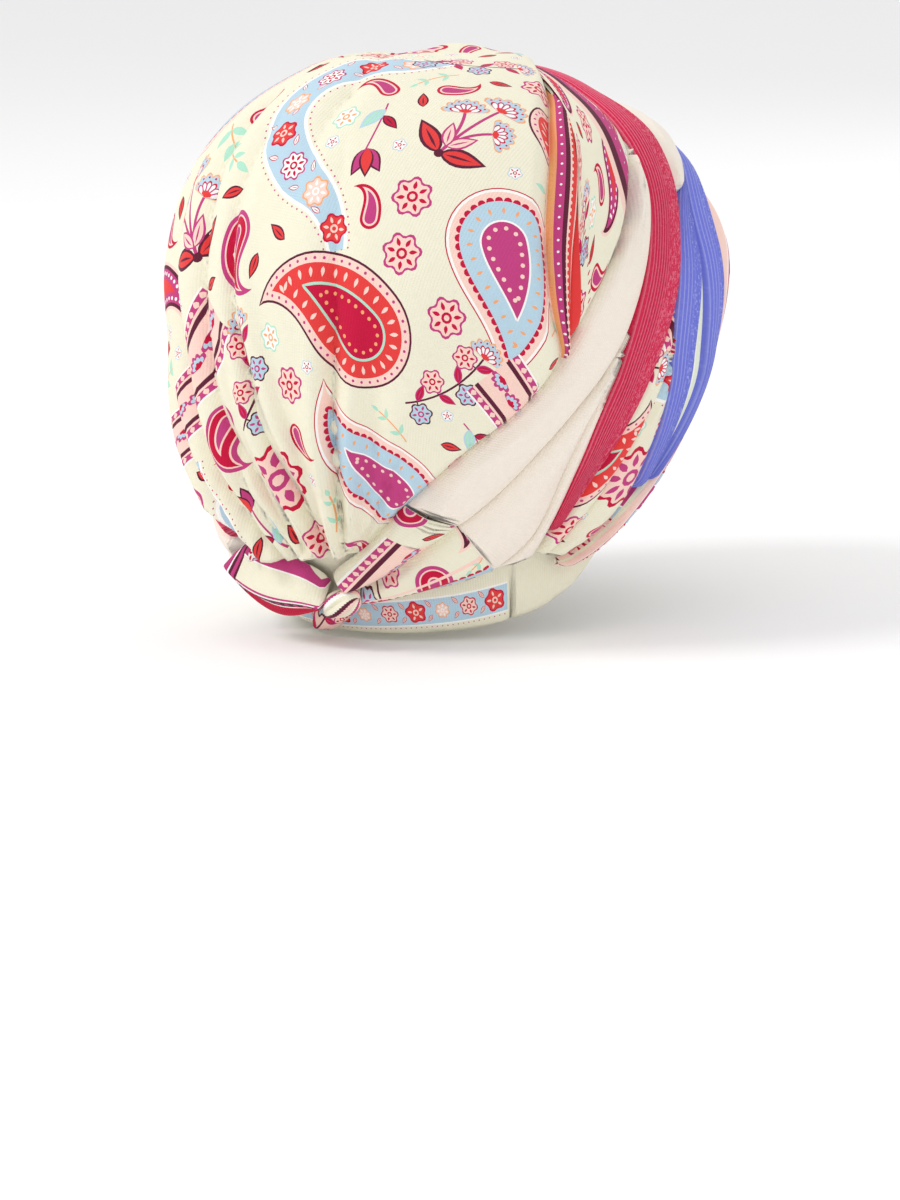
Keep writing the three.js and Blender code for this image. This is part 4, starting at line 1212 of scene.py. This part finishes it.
class Strip:
    """A band of cloth between two edges on the form, with flat millimetres along and across it."""

    def __init__(self, rear, front, first, last, heights, rolls, wall):
        tuck = END_TUCK if last > first else -END_TUCK
        self.rows = np.linspace(first - tuck, last + tuck, 160)
        self.rear_at, self.front_at = rear, front
        self.heights, self.rolls, self.wall = heights, rolls, wall
        a, b = rear(self.rows), front(self.rows)
        low, high = form_point(a), form_point(b)
        self.width = np.maximum(np.linalg.norm(high - low, axis=1), 0.8)
        middle = form_point(unit((a + b) / 2))
        self.run = np.concatenate([[0], np.cumsum(np.linalg.norm(np.diff(middle, axis=0), axis=1))])
        self.detail = None
        self.caps = (0, 0)
        self.tuck = TUCK
        self.end_rolls = (END_ROLL, END_ROLL)
        self.seam_ends = (False, False)

    def half(self, along):
        """Half width of the cut cloth, which tucks a little under its neighbours."""
        half = np.interp(along, self.run, self.width) / 2 + self.tuck
        for cap, from_end in ((self.caps[0], along), (self.caps[1], self.run[-1] - along)):
            if cap:
                half = half * np.sqrt(np.clip(1 - (1 - np.clip((from_end + 0.4) / cap, 0, 1)) ** 2, 0, 1))
        return half

    def outline(self):
        along = np.linspace(0, self.run[-1], max(int(self.run[-1] / EDGE_STEP), 6))
        for k, cap in ((0, self.caps[0]), (1, self.caps[1])):
            if cap:
                near = np.linspace(0, cap, 9) ** 2 / cap
                along = np.union1d(along, near if k == 0 else self.run[-1] - near)
        half = self.half(along)
        return np.vstack([np.stack([along, -half], 1), np.stack([along, half], 1)[::-1]])

    def place_of(self, flat):
        along = np.clip(flat[:, 0], 0, self.run[-1])
        width = np.interp(along, self.run, self.width)
        share = flat[:, 1] / width + 0.5
        row = np.interp(along, self.run, self.rows)
        a, b = self.rear_at(row), self.front_at(row)
        return a + (b - a) * share[:, None], share, width, along

    def height(self, flat, level):
        _, share, width, along = self.place_of(flat)
        depth = sizes_mm().wrap_depth
        rear, middle, front = self.heights
        t = np.clip(share, 0, 1)
        lift = (rear + (front - rear) * t + (middle - (rear + front) / 2) * 4 * t * (1 - t)) * depth
        if self.detail is not None:
            lift = lift + self.detail(t, width, along)
        base = GAP * 0.5
        half = self.half(along)
        roll = self.rolls[0] + (self.rolls[1] - self.rolls[0]) * t
        away = np.minimum(half + flat[:, 1], half - flat[:, 1])
        u = np.clip(away / np.minimum(roll, half * 0.9 + 0.01), 0, 1)
        lift = base + (lift - base) * np.sqrt(np.clip(1 - (1 - u) ** 2.2, 0, 1))
        for from_end, reach, sewn in (
            (along, self.end_rolls[0], self.seam_ends[0]),
            (self.run[-1] - along, self.end_rolls[1], self.seam_ends[1]),
        ):
            floor = base + (lift - base) * SEAM_LEVEL if sewn else base
            u = np.clip((from_end + 0.4) / reach, 0, 1)
            lift = floor + (lift - floor) * (smooth(u) if sewn else np.sqrt(np.clip(1 - (1 - u) ** 2.2, 0, 1)))
        return lift - np.minimum(self.wall, lift * 0.6) * level - depth

    def place(self, flat, level):
        return skin(self.place_of(flat)[0], self.height(flat, level))

    def outward(self, flat):
        return form_normal(self.place_of(flat)[0])

    def rails(self, ink):
        """Outlines a little way in from the edge, so that the mesh follows the rolled edge."""
        bands = []
        for inset in (0.8, 2.0, 3.6):
            along = np.linspace(inset, self.run[-1] - inset, max(int(self.run[-1] / 2), 6))
            half = self.half(along) - inset
            wide = np.flatnonzero(half > 0.5)
            if len(wide) > 4 and wide[-1] - wide[0] + 1 == len(wide):
                along, half = along[wide], half[wide]
                bands.append((np.vstack([np.stack([along, -half], 1), np.stack([along, half], 1)[::-1]]), ink))
        return bands

    def band_at(self, low, high):
        """Polygon of a stripe from one share of the width to another."""
        along = np.linspace(0, self.run[-1], max(int(self.run[-1] / EDGE_STEP), 4))
        width = np.interp(along, self.run, self.width)
        lower = np.stack([along, (low - 0.5) * width], 1)
        upper = np.stack([along, (high - 0.5) * width], 1)
        return np.vstack([lower, upper[::-1]])

    def line_at(self, share, first=0.0, last=1.0):
        along = np.linspace(self.run[-1] * first, self.run[-1] * last, 60)
        return np.stack([along, (share - 0.5) * np.interp(along, self.run, self.width)], 1)


def soft_ridges(count, height, phase):
    def detail(share, width, along):
        wander = 0.12 * np.sin(along / 23 + phase) + 0.06 * np.sin(along / 9 + 2 * phase)
        ridge = np.sin(2 * math.pi * count * (share + wander) + phase)
        return height * ridge * (0.6 + 0.4 * np.sin(along / 31 + phase)) * smooth(width / 8)

    return detail


def cords(count, rear, front):
    """Ribs that run along a ribbon, with one height near its rear edge and another near its front."""

    def detail(share, width, along):
        height = rear + (front - rear) * smooth((share - 0.35) / 0.25)
        return height * np.sin(2 * math.pi * count * share) / 2 * smooth(width / 10)

    return detail


# Print of each strip: where it is cut from the cloth, its ground, then stripes and rows that
# follow its length: (kind, from or at, to or size, pitch, ink)
STRIP_PRINTS = {
    "print_pleat_rear": (None, "blush", (
        ("stripe", 0.0, 0.16, 0, "apricot"), ("stripe", 0.16, 0.42, 0, "magenta"),
        ("dots", 0.3, 0.45, 4.0, "white"),
        ("stripe", 0.42, 0.58, 0, "plum"), ("stripe", 0.64, 0.86, 0, "coral"),
        ("dots", 0.64, 0.75, 2.6, "blush"))),
    "print_pleat_front": ((70, 60, 0.9), "cream", (
        ("stripe", 0.0, 0.1, 0, "coral"), ("seeds", 0.16, 2.2, 3.4, "crimson"),
        ("stripe", 0.58, 0.64, 0, "blush"),
        ("stripe", 0.64, 0.72, 0, "plum"), ("stripe", 0.72, 0.86, 0, "magenta"),
        ("dots", 0.79, 0.4, 4.4, "white"))),
    "print_fold_upper": ((-20, -60, 0.5), "cream", ()),
    "print_fold_lower": ((30, 20, 2.2), "cream", ()),
    "front_print_fold": ((-60, 110, 0.1), "blush", (
        ("stripe", 0.0, 0.3, 0, "blush"), ("scallops", 0.1, 1.25, 3.6, "crimson"),
        ("stripe", 0.0, 0.085, 0, "cream"),
        ("stripe", 0.3, 0.33, 0, "white"), ("stripe", 0.33, 0.36, 0, "magenta"))),
    "tie_end": ((120, -10, 1.0), "cream", (
        ("stripe", 0.50, 0.56, 0, "blush"), ("dots", 0.76, 1.3, 2.8, "crimson"),
        ("stripe", 0.78, 1.0, 0, "sky"))),
    "tie_strip": ((-76, -96, 0.3), "cream", ()),
    "tie_loop": (None, "cream", (
        ("stripe", -0.1, 0.05, 0, "magenta"), ("stripe", 0.05, 0.07, 0, "white"),
        ("stripe", 0.34, 0.37, 0, "magenta"), ("stripe", 0.37, 0.40, 0, "white"),
        ("stripe", 0.40, 0.54, 0, "plum"),
        ("dots", 0.47, 1.0, 3.4, "magenta"), ("stripe", 0.54, 0.57, 0, "white"),
        ("stripe", 0.57, 0.75, 0, "crimson"),
        ("across", 0, 3.0, 0, "magenta"), ("across", 3.0, 3.7, 0, "white"), ("across", 3.7, 7.2, 0, "plum"),
        ("across", 4.8, 6.2, 0, "magenta"), ("across", 7.2, 7.8, 0, "white"))),
    "tie_tail": ((10, -70, 2.0), "blush", ()),
}


def strip_shapes(key, strip):
    if key not in STRIP_PRINTS:
        return [], "cream"
    cut, ground, rows = STRIP_PRINTS[key]
    shapes = list(cut_print(strip.outline(), cut)) if cut else []
    for kind, a, b, pitch, ink in rows:
        if kind == "stripe":
            shapes.append((strip.band_at(a, b), ink))
            continue
        if kind == "across":
            shapes.append((np.array([(a, -60), (b, -60), (b, 60), (a, 60)], float), ink))
            continue
        line = strip.line_at(a, 0.22, 0.78) if kind == "scallops" else strip.line_at(a)
        for at, heading in spaced(line, pitch, closed=False):
            figure = petal(b, b * 0.5, 5) if kind == "seeds" else disc(b, 8)
            shapes.append((turned(figure, heading + (math.pi / 2 if kind == "seeds" else 0), at), ink))
    return shapes, ground


def cloth_kind(key):
    for start, kind in (("red", "red"), ("blue", "blue"), ("pale", "pale"), ("plain", "plain")):
        if key.startswith(start):
            return kind
    return "print"


def glitter_of(piece, strip, ribs):
    """Lets the ribs follow the ribbon's edges, and sets how much of the glitter yarn shows: there the flecks
    get painted glints, elsewhere the rib crests get painted highlight.
    """
    flat = np.zeros(len(piece.data.loops) * 2, np.float32)
    layer = piece.data.uv_layers["cloth"].data
    layer.foreach_get("uv", flat)
    flat = flat.reshape(-1, 2)
    _, share, _, _ = strip.place_of(flat / MM)
    flat[:, 1] = share * ribs * RIB_PITCH * MM
    layer.foreach_set("uv", flat.astype(np.float32).reshape(-1))
    amount = np.zeros(len(piece.data.vertices))
    loops = np.zeros(len(piece.data.loops), np.int32)
    piece.data.loops.foreach_get("vertex_index", loops)
    amount[loops] = 0.15 + 0.75 * smooth((share - 0.4) / 0.2)
    layer = piece.data.attributes.new("glitter", "FLOAT", "POINT")
    layer.data.foreach_set("value", amount.astype(np.float32))


# Ribs of each ribbon across its whole width, which stand in for about twice as many fine ones
RIB_PITCH = 1.2
RIBS = {"red_band": 15, "blue_band_rear": 8, "blue_band_front": 8, "pale_strip": 4}
RIB_LINES = {key: np.arange(count) / count + 0.25 / count for key, count in RIBS.items()}


def build_strip(node, key, strip, spacing):
    shapes, ground = strip_shapes(key, strip)
    shapes = strip.rails(ground) + shapes
    kind = cloth_kind(key)
    for share in RIB_LINES.get(key, ()):
        shapes.append((strip.band_at(share, share + 0.5 / RIBS[key]), "cream"))
    piece = cloth(node + "_cloth", strip.outline(), strip.place, strip.outward, material_for(kind), shapes,
                  spacing=spacing, ground=ground)
    if kind in ("red", "blue", "pale"):
        glitter_of(piece, strip, RIBS[key] if key in RIBS else 9)
    return finish_piece(piece, node)


def build_folds(keys):
    sizes = sizes_mm()
    for row, (key, rear, front, first, last, heights, rolls, count, height) in enumerate(FOLDS):
        if key not in keys:
            continue
        rear_rows, middle = crease_rows(rear)
        front_rows, _ = crease_rows(front)

        def rear_at(at, rows=rear_rows, middle=middle):
            return spline_rows(rows, at + middle)

        def front_at(at, rows=front_rows, middle=middle):
            return spline_rows(rows, at + middle)

        spans = [("", -last, last)] if first is None else [("_right", first, last), ("_left", -first, -last)]
        for side, start, end in spans:
            strip = Strip(rear_at, front_at, start, end, heights, rolls, sizes.fold_wall)
            strip.end_rolls = (2.5, 9) if key.startswith("print_pleat") else (START_ROLL, FINISH_ROLL)
            if first is None:
                strip.end_rolls = (FINISH_ROLL, FINISH_ROLL)
            if count:
                strip.detail = soft_ridges(count, height, row + (3 if side == "_left" else 0))
            if key == "red_band":
                strip.detail = cords(RIBS[key], 0.7, 0.25)
            if key.startswith("blue"):
                strip.detail = cords(RIBS[key], 0.5, 0.5)
            spacing = sizes.mesh_step
            if not key.startswith(("print", "front", "red", "blue")):
                spacing = sizes.mesh_step * 1.2
            build_strip(key + side, key, strip, spacing)


def build_ties(keys):
    sizes = sizes_mm()
    for row, key in enumerate(keys):
        rows = TIES[key]
        upper = np.array([ball(r[0], r[1]) for r in rows])
        lower = np.array([ball(r[2], r[3]) for r in rows])
        strip = Strip(lambda at, rows=upper: spline_rows(rows, at),
                      lambda at, rows=lower: spline_rows(rows, at),
                      -TIE_TUCK[0], len(rows) - 1 + (TIE_TUCK[1] if key == "tie_loop" else 0.08),
                      TIE_HEIGHTS[key], (3.4, 3.4), sizes.fold_wall)
        strip.caps = CAPS.get(key, (0, 0))
        strip.tuck = 1.6
        sewn = key in ("tie_end", "tie_strip", "red_tail", "plain_tail_upper", "plain_tail_lower")
        strip.seam_ends = (sewn, False)
        strip.end_rolls = (SEAM_ROLL if sewn else END_ROLL, END_ROLL)
        strip.detail = soft_ridges(2.4, 1.3, 2.0) if key == "tie_loop" else soft_ridges(1.6, 0.6, row * 1.7)
        build_strip(key, key, strip, sizes.mesh_step * 0.8)


SEAM_AROUND = 107.0    # degrees round the form to the hem's side seam


def build_hem():
    sizes = sizes_mm()
    low_up, high_up, low_depth = (table_curve(HEM["around"], HEM[k]) for k in ("low", "high", "depth"))
    under = sizes.wrap_depth + sizes.bag_wall + 0.9
    turns = np.linspace(0, 360, 260) + SEAM_AROUND
    around = (turns + 180) % 360 - 180
    lows, highs = ball(around, low_up(np.abs(around))), ball(around, high_up(np.abs(around)))
    lower, upper = form_point(lows), form_point(highs)
    width = np.linalg.norm(upper - lower, axis=1)
    middle = (upper + lower) / 2
    run = np.concatenate([[0], np.cumsum(np.linalg.norm(np.diff(middle, axis=0), axis=1))])

    def parts(flat):
        along = np.clip(flat[:, 0], 0, run[-1])
        share = np.clip(flat[:, 1] / np.interp(along, run, width) + 0.5, 0, 1)
        turn = np.interp(along, run, turns)
        here = (turn + 180) % 360 - 180
        low, high = low_up(np.abs(here)), high_up(np.abs(here))
        return ball(here, low + (high - low) * share), share, here, along

    def place(flat, level):
        balls, share, here, along = parts(flat)
        depth = low_depth(np.abs(here))
        deep = under * (depth + (1 - depth) * smooth(share / 0.5))
        wave = 0.5 * np.sin(share * 9 + 1.2 * np.sin(along / 37))
        fold = wave * smooth(share / 0.25) * smooth((1 - share) / 0.2)
        edge = np.sqrt(np.clip(1 - (1 - np.clip(share / 0.1, 0, 1)) ** 2, 0, 1))
        pucker = 0.35 * (1 - smooth(np.minimum(along, run[-1] - along) / 3.0))
        return skin(balls, -deep + (fold - pucker - (1 - edge) * 0.9) * (1 - level) - level * sizes.hem_wall)

    def outward(flat):
        return form_normal(parts(flat)[0])

    along = np.linspace(0, run[-1], int(run[-1] / 2.2))
    half = np.interp(along, run, width) / 2
    outline = np.vstack([np.stack([along, -half], 1), np.stack([along, half], 1)[::-1]])
    # A flowered ribbon is printed from the seam round the back, above the open edge
    shapes = []
    line = np.stack([along, -half + 11], 1)[(along > 1.5) & (along < 132)]
    for reach, ink in ((5.6, "white"), (4.9, "sky")):
        upper_line, lower_line = line + (0, reach * 0.9), line - (0, reach)
        shapes.append((np.vstack([lower_line, upper_line[::-1]]), ink))
    for at, _ in spaced(line - (0, 6.4), 2.2, closed=False):
        shapes.append((disc(0.3, 6) + at, "magenta"))
    inks = (("crimson", "coral", "blush"), ("crimson", "blush", "crimson"), ("apricot", "blush", "white"))
    for k, (at, heading) in enumerate(spaced(line, 10.5, closed=False)):
        shapes += moved_shapes(rosette(4.4 - 0.7 * (k % 3), 5 + k % 3, inks[k % 3]), k * 1.3, at)
        for side in (-1, 1):
            beside = (at[0] + 4.3, at[1] + side * 1.4)
            shapes += moved_shapes(leaf(3.4, "blush", "crimson"), heading + side * 0.9, beside)
    for name, spot, turn in (("sprig_small", (run[-1] - 22, 2), 0.8), ("tiny_drop", (run[-1] - 44, -2), 2.0),
                             ("rosette_mint", (run[-1] - 62, 1), 0), ("bud", (run[-1] - 80, 0), 1.0)):
        shapes += moved_shapes(centred(MOTIFS[name]()), turn, spot)
    shapes = [(p, ink) for p, ink in shapes if (p[:, 0] > 0.6).all() and (p[:, 0] < run[-1] - 0.6).all()]
    piece = cloth("hem_band_cloth", outline, place, outward, material_for("hem"), shapes, spacing=2.8,
                  coarse=7.0, ground="cream")
    return finish_piece(piece, "hem_band")


# Place of the knot, its size in millimetres, how far out it stands as a share of its depth, and
# how far it leans
KNOT = {"around": 153.8, "up": -45, "width": 15, "height": 11, "depth": 11, "stand": 0.05, "lean": 24}


def build_knot():
    """A small tight knot: cloth that turns over itself, with creases that twist round it."""
    rings = 40
    steps = 72
    round_steps = np.arange(steps) * 2 * math.pi / steps
    tilt, turn = np.meshgrid(np.linspace(0, math.pi, rings), round_steps, indexing="ij")
    # Five creases round the knot, which twist as they run along it
    crease_turn = turn * 2.5 + tilt * 1.3
    grooves = np.abs(np.sin(crease_turn))
    reach = 1 - 0.26 * (1 - grooves) ** 2 * np.sin(tilt)
    x = np.cos(tilt) * KNOT["width"] / 2 * (1 + 0.06 * np.sin(turn * 2))
    y = np.sin(tilt) ** 0.8 * np.sin(turn) * KNOT["depth"] / 2 * reach
    z = np.sin(tilt) ** 0.8 * np.cos(turn) * KNOT["height"] / 2 * reach * 0.85
    lean = math.radians(KNOT["lean"])
    x, z = x * math.cos(lean) - z * math.sin(lean), x * math.sin(lean) + z * math.cos(lean)
    seat = ball(KNOT["around"], KNOT["up"])
    out = form_normal(seat)
    sideways = unit(np.cross(np.array([0, 0, 1.0]), out))
    upward = np.cross(out, sideways)
    middle = skin(seat, np.array(KNOT["depth"] * KNOT["stand"]))
    points = middle + x[..., None] * sideways - y[..., None] * out + z[..., None] * upward
    flats = np.stack([turn * 5, tilt * 6], -1).reshape(-1, 2)
    faces = []
    inks = []
    colours = ("blush", "blush", "magenta", "cream", "blush", "plum", "cream", "cream", "white", "magenta")
    for i in range(rings - 1):
        for j in range(steps):
            k = (j + 1) % steps
            a, b, c, d = i * steps + j, i * steps + k, (i + 1) * steps + k, (i + 1) * steps + j
            ink = INK_NAMES.index(colours[int(crease_turn[i, j] / 0.9) % len(colours)])
            faces += [(a, b, c), (a, c, d)]
            inks += [ink, ink]
    positions = points.reshape(-1, 3)
    faces = np.array(faces)
    corner = positions[faces]
    facing = np.cross(corner[:, 1] - corner[:, 0], corner[:, 2] - corner[:, 0])
    if np.sum(facing * (corner.mean(1) - middle)) < 0:
        faces, facing = faces[:, ::-1], -facing
    normals = np.zeros_like(positions)
    for k in range(3):
        np.add.at(normals, faces[:, k], facing)
    normals /= np.maximum(np.linalg.norm(normals, axis=1, keepdims=True), 1e-9)
    piece = make_object("knot_cloth", positions * MM, faces, normals, flats, np.array(inks),
                        material_for("print"))
    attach(piece, "root")
    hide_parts("knot")
    return piece


def colour(name, text, what):
    """A colour that is given here as an sRGB hex value and kept as a linear one."""
    return bpy.props.FloatVectorProperty(name=name, description=what, default=linear(text), size=3,
                                         min=0, max=1, subtype="COLOR")


def length(name, value, what, low, high):
    """A length that is given here in millimetres and kept in metres."""
    return bpy.props.FloatProperty(name=name, description=what, default=value * MM, min=low * MM,
                                   max=high * MM, precision=4, unit="LENGTH", subtype="DISTANCE")


def sizes_mm():
    """The user's sizes in millimetres, as in the tables."""
    chosen = bpy.context.scene.turban_sizes
    names = TurbanSizes.__annotations__
    return SimpleNamespace(**{name: round(getattr(chosen, name) / MM, 4) for name in names})


class TurbanSizes(bpy.types.PropertyGroup):
    """Sizes of the cloth."""

    wrap_depth: length("Wrap depth", 7.0, "How far the bag is pressed in under the folds", 3, 12)
    bag_wall: length("Bag wall", 2.0, "Thickness of the doubled bag", 1, 4)
    fold_wall: length("Fold wall", 1.5, "Thickness of a wrapped fold", 0.8, 3)
    hem_wall: length("Hem wall", 2.0, "Thickness of the hem band", 1, 4)
    puff: length("Puff", 2.0, "How far the loose bag stands out", 0, 6)
    mesh_step: length("Mesh step", 2.2, "Spacing of the mesh on printed cloth", 1, 6)


class TurbanColours(bpy.types.PropertyGroup):
    """Colours of the plain cloth, the ribbons, the painted highlights and glints of the ribbons, and the floor.
    """

    plain: colour("Plain jersey", "F1E8DC", "Plain cream folds")
    red: colour("Red ribbon", "D4244F", "Ground of the red ribbon")
    # Painted highlight and glint colour of the red ribbon, not a yarn colour
    red_highlight_paint: colour("Red glitter", "F48CA3", "Glitter yarn of the red ribbon")
    blue: colour("Blue ribbon", "7078D8", "Ground of the blue ribbon")
    # Painted highlight and glint colour of the blue ribbon, not a yarn colour
    blue_glitter: colour("Blue glitter", "B4B9F2", "Glitter yarn of the blue ribbon")
    pale: colour("Pale ribbon", "E0E6D4", "Thin pale strip")
    floor: colour("Floor", "FAFAFA", "Studio floor")


FLOOR_HALF = 14.0            # metres
FLOOR_DROP = 0.0015          # how far the floor lies below the part
WORLD_STRENGTH = 0.86
# The camera looks from the right rear, a little from above
TO_CAMERA = Vector((-0.7586, 0.6365, 0.1392))
CAMERA_RIGHT = Vector((-0.6428, -0.7660, 0.0))
CAMERA_DISTANCE = 1.5
CAMERA_LENS = 126.0          # millimetres, like the sensor
CAMERA_SENSOR = 36.0
AIM_DOWN = 0.0886            # the part stands this far above the middle of the picture
AIM_LEFT = 0.0057


def build_stage():
    colours = bpy.context.scene.turban_colours
    height = float(CAD_BOX[0][2]) - FLOOR_DROP
    mesh = bpy.data.meshes.new("studio_floor")
    corners = [(x * FLOOR_HALF, y * FLOOR_HALF, height) for x, y in ((-1, -1), (1, -1), (1, 1), (-1, 1))]
    mesh.from_pydata(corners, [], [(0, 1, 2, 3)])
    mesh.materials.append(floor_paint("matt_studio_emulsion", colours.floor))
    floor = bpy.data.objects.new("studio_floor", mesh)
    bpy.context.collection.objects.link(floor)

    world = bpy.data.worlds.new("studio")
    world.use_nodes = True
    world.node_tree.nodes["Background"].inputs["Color"].default_value = (1, 1, 1, 1)
    world.node_tree.nodes["Background"].inputs["Strength"].default_value = WORLD_STRENGTH
    bpy.context.scene.world = world
    bpy.context.scene.view_settings.view_transform = "Standard"

    back = TO_CAMERA
    right = CAMERA_RIGHT
    up = back.cross(right)
    # Lamps, with their place in metres, their size in metres and their power in watts
    for name, where, size, power in (
        ("key", back * 0.7 + up * 1.5 - right * 1.5, 0.7, 17.0),
        ("fill", back * 1.6 + right * 1.0 + up * 0.4, 1.6, 3.0),
        ("rim", back * -1.2 + up * 1.2 + right * 0.9, 1.4, 4.0),
    ):
        lamp = bpy.data.lights.new(name, "AREA")
        lamp.shape = "DISK"
        lamp.size = size
        lamp.energy = power
        light = bpy.data.objects.new(name, lamp)
        light.location = where
        light.rotation_euler = (-where).to_track_quat("-Z", "Y").to_euler()
        bpy.context.collection.objects.link(light)

    camera = bpy.data.objects.new("camera", bpy.data.cameras.new("camera"))
    camera.data.lens = CAMERA_LENS
    camera.data.sensor_width = CAMERA_SENSOR
    camera.data.clip_end = 20.0
    camera.location = back * CAMERA_DISTANCE
    aim = -up * AIM_DOWN - right * AIM_LEFT
    camera.rotation_euler = (aim - camera.location).to_track_quat("-Z", "Y").to_euler()
    bpy.context.collection.objects.link(camera)
    bpy.context.scene.camera = camera


class TURBAN_OT_hem_band(bpy.types.Operator):
    """Build the doubled band round the open edge"""

    bl_idname = "turban.hem_band"
    bl_label = "Hem band"
    bl_options = {"REGISTER"}

    def execute(self, context):
        build_hem()
        return {"FINISHED"}


class TURBAN_OT_crown_bag(bpy.types.Operator):
    """Build the gathered printed bag"""

    bl_idname = "turban.crown_bag"
    bl_label = "Crown bag"
    bl_options = {"REGISTER"}

    def execute(self, context):
        build_bag()
        return {"FINISHED"}


class TURBAN_OT_print_pleats(bpy.types.Operator):
    """Build the two printed pleats beside the bag"""

    bl_idname = "turban.print_pleats"
    bl_label = "Print pleats"
    bl_options = {"REGISTER"}

    def execute(self, context):
        build_folds(("print_pleat_rear", "print_pleat_front"))
        return {"FINISHED"}


class TURBAN_OT_plain_folds(bpy.types.Operator):
    """Build the plain cream folds"""

    bl_idname = "turban.plain_folds"
    bl_label = "Plain folds"
    bl_options = {"REGISTER"}

    def execute(self, context):
        build_folds(("plain_fold_upper", "plain_fold_lower", "plain_fold_side", "plain_fold_front"))
        return {"FINISHED"}


class TURBAN_OT_red_ribbon(bpy.types.Operator):
    """Build the ribbed red ribbon"""

    bl_idname = "turban.red_ribbon"
    bl_label = "Red ribbon"
    bl_options = {"REGISTER"}

    def execute(self, context):
        build_folds(("red_band",))
        return {"FINISHED"}


class TURBAN_OT_print_folds(bpy.types.Operator):
    """Build the printed folds in front of the red ribbon"""

    bl_idname = "turban.print_folds"
    bl_label = "Print folds"
    bl_options = {"REGISTER"}

    def execute(self, context):
        build_folds(("print_fold_upper", "print_fold_lower", "front_print_fold"))
        return {"FINISHED"}


class TURBAN_OT_blue_ribbons(bpy.types.Operator):
    """Build the blue ribbons and the pale strip between them"""

    bl_idname = "turban.blue_ribbons"
    bl_label = "Blue ribbons"
    bl_options = {"REGISTER"}

    def execute(self, context):
        build_folds(("blue_band_rear", "pale_strip", "blue_band_front"))
        return {"FINISHED"}


class TURBAN_OT_ties(bpy.types.Operator):
    """Build the ties, the tails and the loop beside the knot"""

    bl_idname = "turban.ties"
    bl_label = "Ties"
    bl_options = {"REGISTER"}

    def execute(self, context):
        build_ties(tuple(TIES))
        return {"FINISHED"}


class TURBAN_OT_knot(bpy.types.Operator):
    """Build the small tight knot"""

    bl_idname = "turban.knot"
    bl_label = "Knot"
    bl_options = {"REGISTER"}

    def execute(self, context):
        build_knot()
        return {"FINISHED"}


class TURBAN_OT_stage(bpy.types.Operator):
    """Set up the floor, the lights and the camera"""

    bl_idname = "turban.stage"
    bl_label = "Stage"
    bl_options = {"REGISTER"}

    def execute(self, context):
        build_stage()
        return {"FINISHED"}


OPERATORS = (
    TURBAN_OT_hem_band,
    TURBAN_OT_crown_bag,
    TURBAN_OT_print_pleats,
    TURBAN_OT_plain_folds,
    TURBAN_OT_red_ribbon,
    TURBAN_OT_print_folds,
    TURBAN_OT_blue_ribbons,
    TURBAN_OT_ties,
    TURBAN_OT_knot,
    TURBAN_OT_stage,
)


class TURBAN_PT_panel(bpy.types.Panel):
    """Lists the sizes, the colours and the steps that build the turban."""

    bl_idname = "TURBAN_PT_panel"
    bl_label = "Turban"
    bl_space_type = "VIEW_3D"
    bl_region_type = "UI"
    bl_category = "Turban"

    def draw(self, context):
        for name in TurbanSizes.__annotations__:
            self.layout.prop(context.scene.turban_sizes, name)
        for name in TurbanColours.__annotations__:
            self.layout.prop(context.scene.turban_colours, name)
        for step in OPERATORS:
            self.layout.operator(step.bl_idname)


CLASSES = (TurbanSizes, TurbanColours, *OPERATORS, TURBAN_PT_panel)


def register():
    for item in CLASSES:
        bpy.utils.register_class(item)
    bpy.types.Scene.turban_sizes = bpy.props.PointerProperty(type=TurbanSizes)
    bpy.types.Scene.turban_colours = bpy.props.PointerProperty(type=TurbanColours)


def unregister():
    del bpy.types.Scene.turban_colours
    del bpy.types.Scene.turban_sizes
    for item in reversed(CLASSES):
        bpy.utils.unregister_class(item)


def main():
    register()
    bpy.ops.turban.hem_band()
    bpy.ops.turban.crown_bag()
    bpy.ops.turban.print_pleats()
    bpy.ops.turban.plain_folds()
    bpy.ops.turban.red_ribbon()
    bpy.ops.turban.print_folds()
    bpy.ops.turban.blue_ribbons()
    bpy.ops.turban.ties()
    bpy.ops.turban.knot()
    bpy.ops.turban.stage()


if __name__ == "__main__":
    main()
